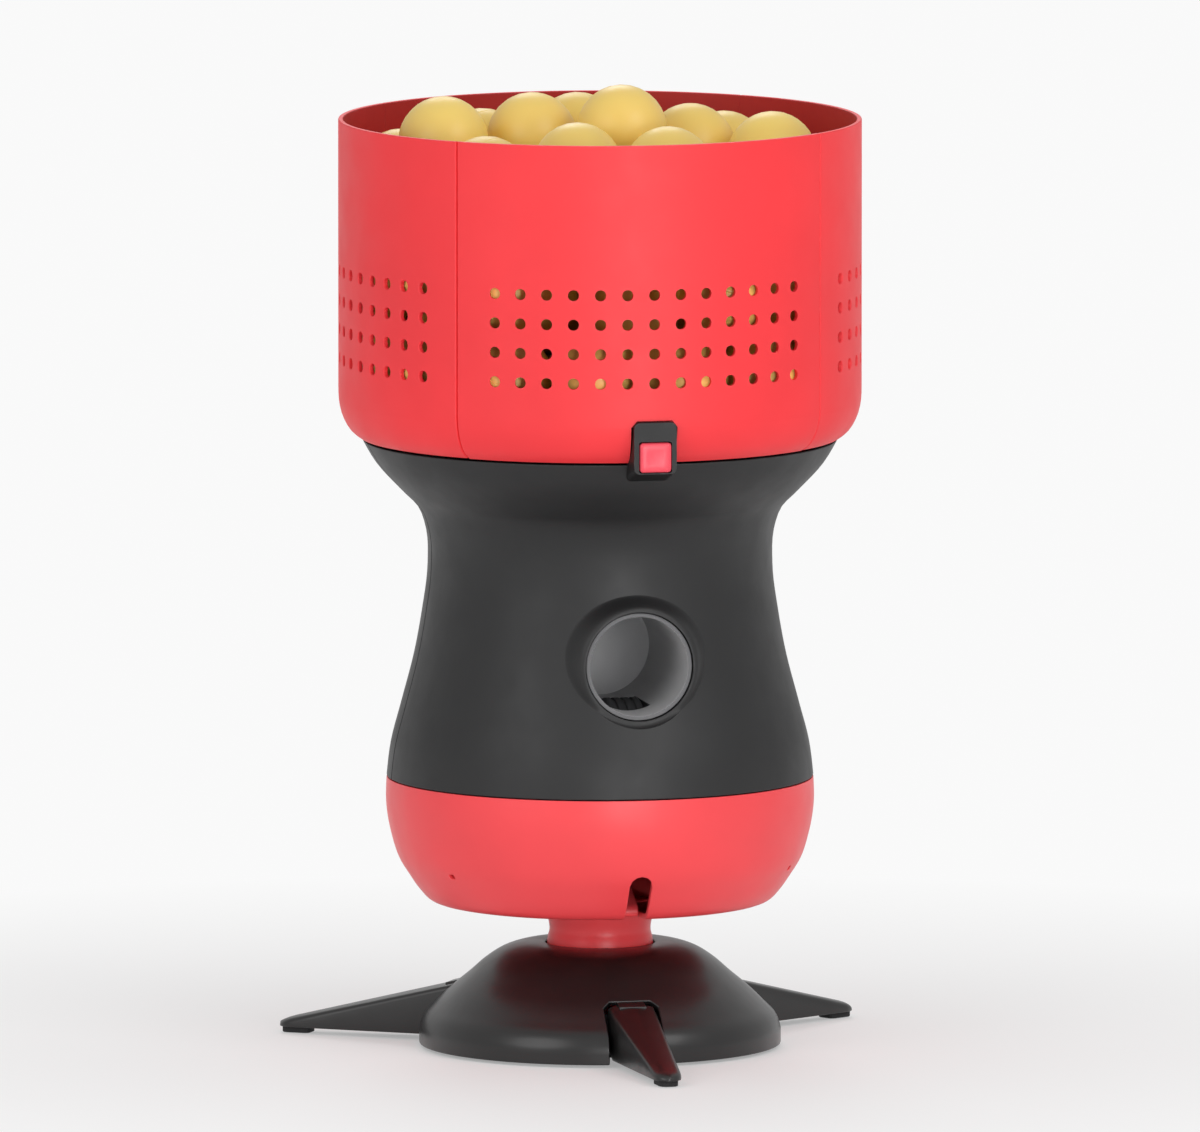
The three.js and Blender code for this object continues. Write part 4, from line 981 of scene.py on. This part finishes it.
def barrel():
    """The ball's tube with openings for the wheels, and the motors' plates."""
    lines = np.linspace(*span("launch_barrel", "y"), 41)
    columns = 96
    outer, inner = ([(radius, -y) for y in lines] for radius in (BARREL_RADIUS, BORE_RADIUS))
    wall = Wall(outer, inner, columns)
    reach = sqrt((WHEEL_RADIUS + 1.5 * MM) ** 2 - (WHEEL_OFFSET - BARREL_RADIUS) ** 2)
    middles = (lines[:-1] + lines[1:]) / 2
    rows = np.flatnonzero(abs(middles + WHEEL_DISTANCE) < reach)
    spread = round(asin((WHEEL_HALF + 2 * MM) / BARREL_RADIUS) / (2 * pi) * columns)
    for centre in (columns // 4, 3 * columns // 4):
        wall.hide((centre - spread, centre + spread), (rows[0], rows[-1] + 1))
    form = wall.form()
    middle = (0, 0, EXIT_HEIGHT)
    form.moved(Matrix.Translation(middle) @ Matrix.Rotation(radians(90), 4, "X"))
    foot = sqrt(BORE_RADIUS ** 2 - PLATE_SPAN[0] ** 2)
    for sign in (-1, 1):
        ends = (EXIT_HEIGHT + sign * foot, EXIT_HEIGHT + sign * (WHEEL_OFFSET + PLATE_HALF))
        sides = (-WHEEL_DISTANCE - PLATE_HALF, -WHEEL_DISTANCE + PLATE_HALF)
        form.pushed(box_line(*sides, *sorted(ends), 3 * MM, 5), *PLATE_SPAN, "X")
    # The barrel's outside and front lip take the dark grey: painted shade on the lip.
    tube = piece("barrel_tube", form, "barrel_grey_painted_shade", "head", "launch_barrel", 0.35 * MM)
    # The bore's inner faces get their own grey: painted light inside the tube, darker than the chute
    # as painted shade.
    face_inwards(tube, "bore_painted_light_and_shade", middle, 1)


def tyres():
    inner = WHEEL_RADIUS - TYRE_THICKNESS
    outline = [(inner, -WHEEL_HALF, 0.3 * MM), (WHEEL_RADIUS, -WHEEL_HALF, 1.5 * MM)]
    for x in GROOVES:
        for aside, depth in GROOVE_LINE:
            outline.append((WHEEL_RADIUS - depth * MM, x + aside * MM, 0))
    outline += [(WHEEL_RADIUS, WHEEL_HALF, 1.5 * MM), (inner, WHEEL_HALF, 0.3 * MM)]
    for name, sign in (("upper", 1), ("lower", -1)):
        middle = (0, -WHEEL_DISTANCE, EXIT_HEIGHT + sign * WHEEL_OFFSET)
        form = Form().turned(rounded(outline, 4), "X", middle, 72)
        node = f"{name}_wheel_tyre"
        piece(f"{name}_tread", form, "wheel_rubber", f"{name}_wheel", node, edge=0)


def chute():
    """The quarter bend from the drop tube to the barrel, and the tube above it."""
    skins = []
    for radius in (BARREL_RADIUS, BORE_RADIUS):
        rings = []
        for turn in np.linspace(0, pi / 2, 25):
            c, s = cos(turn), sin(turn)
            y, z = POCKET_DISTANCE * s, EXIT_HEIGHT + POCKET_DISTANCE * (1 - c)
            ring = arc((0, 0), radius, 0, 2 * pi, 49)[:-1]
            rings.append([(x, y + out * s, z - out * c) for x, out in ring])
        skins.append(rings)
    outer, inner = skins
    form = Form().loft([*outer, *reversed(inner)], closed=True)
    # The chute's near-white grey is painted light on the deep end seen through the exit.
    piece("chute_bend", form, "chute_grey_painted_light", "head", "feed_chute", 0.3 * MM)
    section = box_line(BORE_RADIUS, BARREL_RADIUS, *span("drop_tube", "z"), 0.4 * MM, 4)
    pipe = Form().turned(section, "Z", (0, POCKET_DISTANCE, 0), 72)
    # The drop tube shares the chute's painted-light grey.
    piece("drop_pipe", pipe, "chute_grey_painted_light", "head", "drop_tube", 0)


def feed_deck():
    stops = ((3.3, 15, 3), (18, 69, 18), (74, DECK_RADIUS / MM, 4))
    radii = np.concatenate([np.linspace(*stop) for stop in stops]) * MM
    top = DECK_BOTTOM + DECK_THICKNESS
    outer, inner = ([(radius, height) for radius in radii] for height in (top, DECK_BOTTOM))
    wall = Wall(outer, inner, 96, disc=True)
    half = (BORE_RADIUS, BORE_RADIUS)
    wall.opening((13, 35), (2, 20), radians(90), POCKET_DISTANCE, half, rings=(0.4, 0.8))
    cup = box_line(CUP_INNER, CUP_OUTER, top - 0.5 * MM, CUP_TOP, 0.8 * MM, 4)
    piece("feed_tray", wall.form().turned(cup), "dark_plastic", "head", "feed_deck")


def feed_wheel():
    open_half = acos(
        (FEED_RADIUS ** 2 + POCKET_DISTANCE ** 2 - POCKET_RADIUS ** 2)
        / (2 * FEED_RADIUS * POCKET_DISTANCE)
    )
    rim = (FEED_RADIUS * cos(open_half) - POCKET_DISTANCE, FEED_RADIUS * sin(open_half))
    mouth = atan2(rim[1], rim[0])
    pitch = 2 * pi / POCKET_COUNT
    outline = []
    for k in range(POCKET_COUNT):
        c, s = cos(k * pitch), sin(k * pitch)
        pocket = arc((POCKET_DISTANCE, 0), POCKET_RADIUS, -mouth, mouth - 2 * pi, 34)
        outline += [(x * c - y * s, x * s + y * c) for x, y in pocket]
        ends = (k * pitch + open_half, (k + 1) * pitch - open_half)
        outline += arc((0, 0), FEED_RADIUS, *ends, 16)[1:-1]
    form = Form().pushed(outline, FEED_BOTTOM, FEED_TOP, "Z")
    hub = [
        (0, FEED_TOP - 2 * MM, 0),
        (FEED_HUB_RADIUS, FEED_TOP - 2 * MM, 0),
        (FEED_HUB_RADIUS, FEED_TOP + 1 * MM, 2 * MM),
        (FEED_HUB_RADIUS / 2 + 2 * MM, FEED_HUB_TOP, 5 * MM),
        (0, FEED_HUB_TOP, 0),
    ]
    form.turned(rounded(hub), sides=64)
    start, end = span("feed_wheel", "z")[0], FEED_BOTTOM + 1 * MM
    form.turned([(0, start), (FEED_SHAFT, start), (FEED_SHAFT, end), (0, end)], sides=24)
    piece("feed_star", form, "red_feeder", "feeder", "feed_wheel", edge=1.2 * MM, segments=3)


def hopper_line():
    """The outer line of the hopper's wall, and its rows at the notch's top and the vents' foot."""
    start = VENT_LOWEST - VENT_ROW_SPACING / 2
    end = start + VENT_ROWS * VENT_ROW_SPACING
    narrow = HOPPER_RADIUS - FOOT_WIDENING
    foot = [(narrow + FOOT_WIDENING * x, HOPPER_BOTTOM + FOOT_HEIGHT * z) for x, z in FOOT_SHARES]
    below = np.linspace(HOPPER_BOTTOM + FOOT_HEIGHT, start, 4)[1:-1]
    vents = np.linspace(start, end, VENT_ROWS * VENT_CELLS + 1)
    heights = np.concatenate([below, vents, np.linspace(end, HOPPER_TOP, 14)[1:]])
    line = np.vstack([curve(foot, 10), [(HOPPER_RADIUS, h) for h in heights]])
    line, notch = with_height(line, NOTCH_TOP - LATCH_ROUND)
    return line, notch, int(np.argmin(abs(line[:, 1] - start)))


def hopper_panel(side, middle):
    outer, notch, vents = hopper_line()
    inner = drawn_in(outer, HOPPER_WALL, HOPPER_BOTTOM, HOPPER_TOP)
    cell = VENT_SPACING / VENT_CELLS
    eighth = HOPPER_RADIUS * radians(45)
    reach = eighth - PANEL_GAP / 2
    tiled = VENT_COLUMNS * VENT_SPACING / 2
    margin = [-reach, -reach + 1 * MM, -(reach + tiled) / 2 - 1 * MM, -tiled - cell]
    tiles = np.linspace(-tiled, tiled, VENT_COLUMNS * VENT_CELLS + 1)
    places = [*margin, *tiles, *(-place for place in reversed(margin))]
    centre = len(places) // 2
    width = NOTCH_CELLS * cell
    notched = side == "front"
    marks = {}
    if notched:
        marks = {centre + k: k / NOTCH_CELLS for k in range(-NOTCH_CELLS, NOTCH_CELLS + 1)}

    def angle(column, row):
        along = places[column]
        if notched:
            pull = np.interp(line_at(outer, row)[1], (NOTCH_TOP, outer[vents][1]), (1, 0))
            ends = (0, width, 3 * width, reach), (0, NOTCH_HALF, 3 * width, reach)
            along += (copysign(np.interp(abs(along), *ends), along) - along) * pull
        return middle + along / HOPPER_RADIUS

    def within(turn):
        return middle + (turn - middle) * (eighth + PANEL_OVERLAP) / reach

    slots = (marks, notch, 4, NOTCH_HALF, LATCH_ROUND)
    wall = Wall(outer, inner, len(places) - 1, angle, within, slots)
    for i in range(VENT_COLUMNS):
        for j in range(VENT_ROWS):
            left, bottom = len(margin) + i * VENT_CELLS, vents + j * VENT_CELLS
            block = (left, left + VENT_CELLS), (bottom, bottom + VENT_CELLS)
            at = middle + (i - (VENT_COLUMNS - 1) / 2) * VENT_SPACING / HOPPER_RADIUS
            height = VENT_LOWEST + j * VENT_ROW_SPACING
            wall.opening(*block, at, height, (VENT_RADIUS, VENT_RADIUS))
    node = f"hopper_panel_{side}"
    obj = piece(f"hopper_wall_{side}", wall.form(), "red_hopper", "hopper", node)
    # The inner faces get the darker copy of the red: painted shade inside the hopper.
    face_inwards(obj, "red_hopper_painted_shade")


def hopper_floor():
    outline = [
        (CUP_INNER, FLOOR_LOW, 0.5 * MM),
        (CUP_OUTER, FLOOR_LOW, 0.5 * MM),
        (FLOOR_RADIUS, FLOOR_HIGH, 0.3 * MM),
        (FLOOR_RADIUS, FLOOR_HIGH + FLOOR_WALL, 0.5 * MM),
        (CUP_INNER, FLOOR_LOW + FLOOR_WALL, 1 * MM),
    ]
    funnel = Form().turned(rounded(outline), sides=128)
    piece("hopper_funnel", funnel, "red_hopper", "hopper", "hopper_floor", edge=0)


def latch():
    back = []
    for x, z in box_line(-LATCH_HALF, LATCH_HALF, LATCH_BOTTOM, LATCH_TOP, LATCH_ROUND):
        back.append((x, LATCH_BACK if z > SHELL_TOP else 1 * MM - head_surface(0, z), z))
    chin = BUTTON_HEIGHT - BUTTON_HALF[1] - LATCH_CHIN
    face = box_line(-LATCH_HALF, LATCH_HALF, chin, LATCH_TOP, LATCH_ROUND)
    rings = [back, [(x * 0.98, LATCH_FRONT, z) for x, z in face]]
    for depth in (0, LATCH_POCKET):
        pocket = window(BUTTON_HALF, BUTTON_HEIGHT, -BUTTON_ROOM, 1.2 * MM)
        rings.append([(x, LATCH_FRONT + depth, z) for x, z in pocket])
    piece("latch_frame", Form().loft(rings), "black_trim", "head", "latch_bezel", edge=0.6 * MM)
    rings = []
    for depth, inset in in_mm(BUTTON_STEPS):
        line = window(BUTTON_HALF, BUTTON_HEIGHT, inset, 1.6 * MM)
        rings.append([(x, LATCH_FRONT - BUTTON_PROUD + depth, z) for x, z in line])
    button = "latch_button"
    piece("latch_key", Form().loft(rings), "red_button", button, button, edge=0.3 * MM)


def rear_panel():
    line = window(PANEL_HALF, PANEL_HEIGHT, 0, PANEL_CORNER)
    form = Form().pushed(line, PANEL_BACK, PANEL_FACE, "Y")
    plate = piece("rear_plate", form, "black_trim", "head", "control_panel", edge=0)
    for x, radius in ((JACK_X, JACK_RADIUS), (POWER_X, POWER_RADIUS), (0, LENS_RADIUS)):
        drill(plate, radius + 0.3 * MM, x, PANEL_BACK - 1 * MM, PANEL_FACE + 1 * MM)
    round_edges(plate, 0.35 * MM)
    rings = []
    for inset in (-FRAME_OVERLAP, FRAME_WALL):
        line = window(PANEL_HALF, PANEL_HEIGHT, inset, PANEL_CORNER - inset, 8)
        rings.append([(x, PANEL_FACE - 1 * MM, z) for x, z in line])
        rings.append([(x, head_surface(x, z) + FRAME_PROUD, z) for x, z in line])
    form = Form().loft([rings[0], rings[1], rings[3], rings[2]], closed=True)
    piece("rear_frame", form, "black_shell", "head", edge=0.3 * MM)
    back, front = span("dc_jack", "y")
    line = [(x + JACK_X, z) for x, z in window(JACK_HALF, 0, 0, 1 * MM, 5)]
    form = Form().pushed(line, back, front, "Y", (0, 0, PANEL_HEIGHT))
    jack = piece("power_inlet", form, "black_trim", "head", "dc_jack", edge=0)
    drill(jack, JACK_RADIUS, JACK_X, front - JACK_DEPTH, front + 1 * MM)
    start, end = span("power_button", "y")
    button = [
        (0, start, 0),
        (POWER_RADIUS, start, 0),
        (POWER_RADIUS, end, 0.8 * MM),
        (POWER_RADIUS * 0.6, end, 1 * MM),
        (0, end - 0.5 * MM, 0),
    ]
    form = Form().turned(rounded(button), "Y", (POWER_X, 0, PANEL_HEIGHT), 48)
    piece("power_key", form, "grey_plastic", "power_button", "power_button", edge=0)
    start, end = span("status_lens", "y")
    lens = [(0, start, 0), (LENS_RADIUS, start, 0), (LENS_RADIUS, end, 0.7 * MM), (0, end, 0)]
    form = Form().turned(rounded(lens), "Y", (0, 0, PANEL_HEIGHT), 32)
    piece("status_window", form, "lens", "head", "status_lens", edge=0)


# Balls
def crown_places():
    right = np.array([cos(CAMERA_AZIMUTH), sin(CAMERA_AZIMUTH)])
    away = np.array([-sin(CAMERA_AZIMUTH), cos(CAMERA_AZIMUTH)])
    return np.array([[*(right * a + away * b), z] for a, b, z in CROWN]) * MM


def ball_places(random):
    """Balls that settle in the hopper under the fixed top ones."""
    count = LOOSE_BALLS
    wall = HOPPER_RADIUS - HOPPER_WALL - BALL_RADIUS - 0.3 * MM
    slope = (FLOOR_HIGH - FLOOR_LOW) / (FLOOR_RADIUS - CUP_OUTER)
    fixed = crown_places()
    turn = random.uniform(0, 2 * pi, count)
    reach = wall * np.sqrt(random.uniform(0, 1, count))
    height = random.uniform(*LOOSE_SPAN, count)
    loose = np.stack([reach * np.cos(turn), reach * np.sin(turn), height], axis=1)
    for k in range(SETTLING_ROUNDS):
        loose[:, 2] -= 0.5 * MM * (1 - k / SETTLING_ROUNDS)
        apart = loose[:, None] - np.vstack([loose, fixed])[None]
        distance = np.linalg.norm(apart, axis=2)
        np.fill_diagonal(distance, 1)
        press = np.clip(2 * BALL_RADIUS - distance, 0, None) / distance
        share = np.full(press.shape, 0.3)
        share[:, count:] = 0.6
        loose += (apart * (press * share)[:, :, None]).sum(1)
        out = np.linalg.norm(loose[:, :2], axis=1)
        loose[:, :2] *= np.minimum(1, wall / np.maximum(out, 1e-6))[:, None]
        out = np.linalg.norm(loose[:, :2], axis=1)
        funnel = FLOOR_LOW + FLOOR_WALL + BALL_RADIUS * 1.04 + slope * (out - CUP_OUTER)
        hub = FEED_HUB_TOP + BALL_RADIUS - np.maximum(0, out - FEED_HUB_RADIUS / 2) * 0.7
        floor = np.maximum(np.maximum(FEED_TOP + BALL_RADIUS, funnel), hub)
        loose[:, 2] = np.maximum(loose[:, 2], floor)
    return np.vstack([loose, fixed])


def balls():
    """The load of balls, each with the faint seam of its two halves."""
    random = np.random.default_rng(SEED)
    belt = [0.0, 0.35, 1.0, 2.2, *np.linspace(10, 80, 8)]
    profile = sorted([90 + a for a in belt] + [90 - a for a in belt[1:]])
    line = []
    for angle in (0, *profile, 180):
        radius = BALL_RADIUS - (BALL_SEAM if abs(angle - 90) < 0.4 else 0)
        line.append((radius * sin(radians(angle)), radius * cos(radians(angle))))
    form = Form()
    for place in ball_places(random):
        ball = Form().turned(line, sides=28)
        turn = Matrix.Rotation(random.uniform(0, pi), 4, "X")
        turn = Matrix.Rotation(random.uniform(0, 2 * pi), 4, "Z") @ turn
        ball.moved(Matrix.Translation(place) @ turn)
        form.add(ball.points, ball.faces)
    piece("ball_load", form, "ball_orange", "hopper", edge=0, sharp=60)


# Camera, light and floor
def aimed(name, data, place, direction):
    obj = placed(name, data)
    obj.location = place
    obj.rotation_euler = direction.to_track_quat("-Z", "Y").to_euler()
    return obj


def camera():
    level = cos(CAMERA_ELEVATION)
    x, y = sin(CAMERA_AZIMUTH) * level, -cos(CAMERA_AZIMUTH) * level
    back = Vector((x, y, sin(CAMERA_ELEVATION)))
    distance = VIEW_HEIGHT * LENS / (SENSOR * VIEW_SHAPE)
    data = bpy.data.cameras.new("camera")
    data.lens = LENS
    data.sensor_width = SENSOR
    data.clip_end = 60
    place = Vector(CAMERA_TARGET) + back * distance
    bpy.context.scene.camera = aimed("camera", data, place, -back)


def lamp(name, place, size, watts, target=(0, 0, 0.2)):
    data = bpy.data.lights.new(name, "AREA")
    data.shape = "DISK"
    data.size = size
    data.energy = watts
    aimed(name, data, place, Vector(target) - Vector(place))


def world():
    studio = bpy.data.worlds.new("studio")
    bpy.context.scene.world = studio
    m = Nodes(studio, "Background")
    m.into("Color", (1, 1, 1, 1))
    m.into("Strength", m.ranged(m.seen(0.35), 0, 1, 0.46, 0.95))


def floor():
    """A pale floor that keeps the robot's shadow and fades into the background."""
    size, depth = 6.0, -0.3 * MM
    corners = ((-size, -size), (size, -size), (size, size), (-size, size))
    mesh = bpy.data.meshes.new("floor")
    mesh.from_pydata([(x, y, depth) for x, y in corners], [], [(0, 1, 2, 3)])
    m = new_finish("floor")
    m.into("Base Color", m.mixed(m.noise(3, 4), srgb(243, 243, 243), srgb(247, 247, 247)))
    m.into("Roughness", 0.75)
    glow = m.node("Emission", Color=(1, 1, 1, 1), Strength=0.95)
    fade = m.ranged(m.calc("LENGTH", m.place(), kind="VectorMath"), 0.1, 0.6, 0.35, 1)
    share = m.calc("MULTIPLY", fade, m.seen())
    mix = m.node("MixShader", share, m.shader.outputs["BSDF"], glow.outputs["Emission"])
    m.feed(m.tree.nodes["Material Output"].inputs["Surface"], mix.outputs["Shader"])
    mesh.materials.append(finishes["floor"])
    placed("floor", mesh)


camera()
world()
lamp("key", (1.1, -1.9, 1.7), 1.5, 17)
lamp("fill", (-1.9, -1.4, 1.1), 1.6, 12)
lamp("front", (0.15, -3.0, 0.36), 0.6, 20, (0, 0, 0.16))
lamp("back", (0.3, 2.2, 1.8), 1.2, 12)
floor()
bpy.context.scene.view_settings.view_transform = "Standard"

base_cover()
legs()
neck()
lower_bowl()
head_shells()
exit_collar()
barrel()
tyres()
chute()
feed_deck()
feed_wheel()
for side, middle in (("front", -90), ("right", 0), ("back", 90), ("left", 180)):
    hopper_panel(side, radians(middle))
hopper_floor()
latch()
rear_panel()
balls()

screws = [f"base_screw_{k}" for k in (1, 2, 3)] + [f"bowl_screw_{k}" for k in (1, 2, 3, 4)]
pins = ["tilt_pin", *(f"leg_pin_{side}" for side in LEG_ANGLES)]
hubs = [f"{side}_wheel_hub" for side in ("upper", "lower")]
motors = ["yaw_motor", "feed_motor", "upper_launch_motor", "lower_launch_motor"]
paint(["non_slip_pad"], "rubber", 0.5 * MM)
paint(["base_plate", "chassis_plate", "barrel_saddle", *hubs], "dark_plastic", 0.4 * MM)
paint(["yaw_gear"], "grey_plastic", 0.15 * MM)
paint(["yaw_bearing", "yaw_pinion", *pins, *screws], "steel", 0.2 * MM)
paint(motors, "motor_can", 0.6 * MM)
paint(["main_board"], "circuit_board")
paint(["battery_pack"], "battery_wrap", 1 * MM)
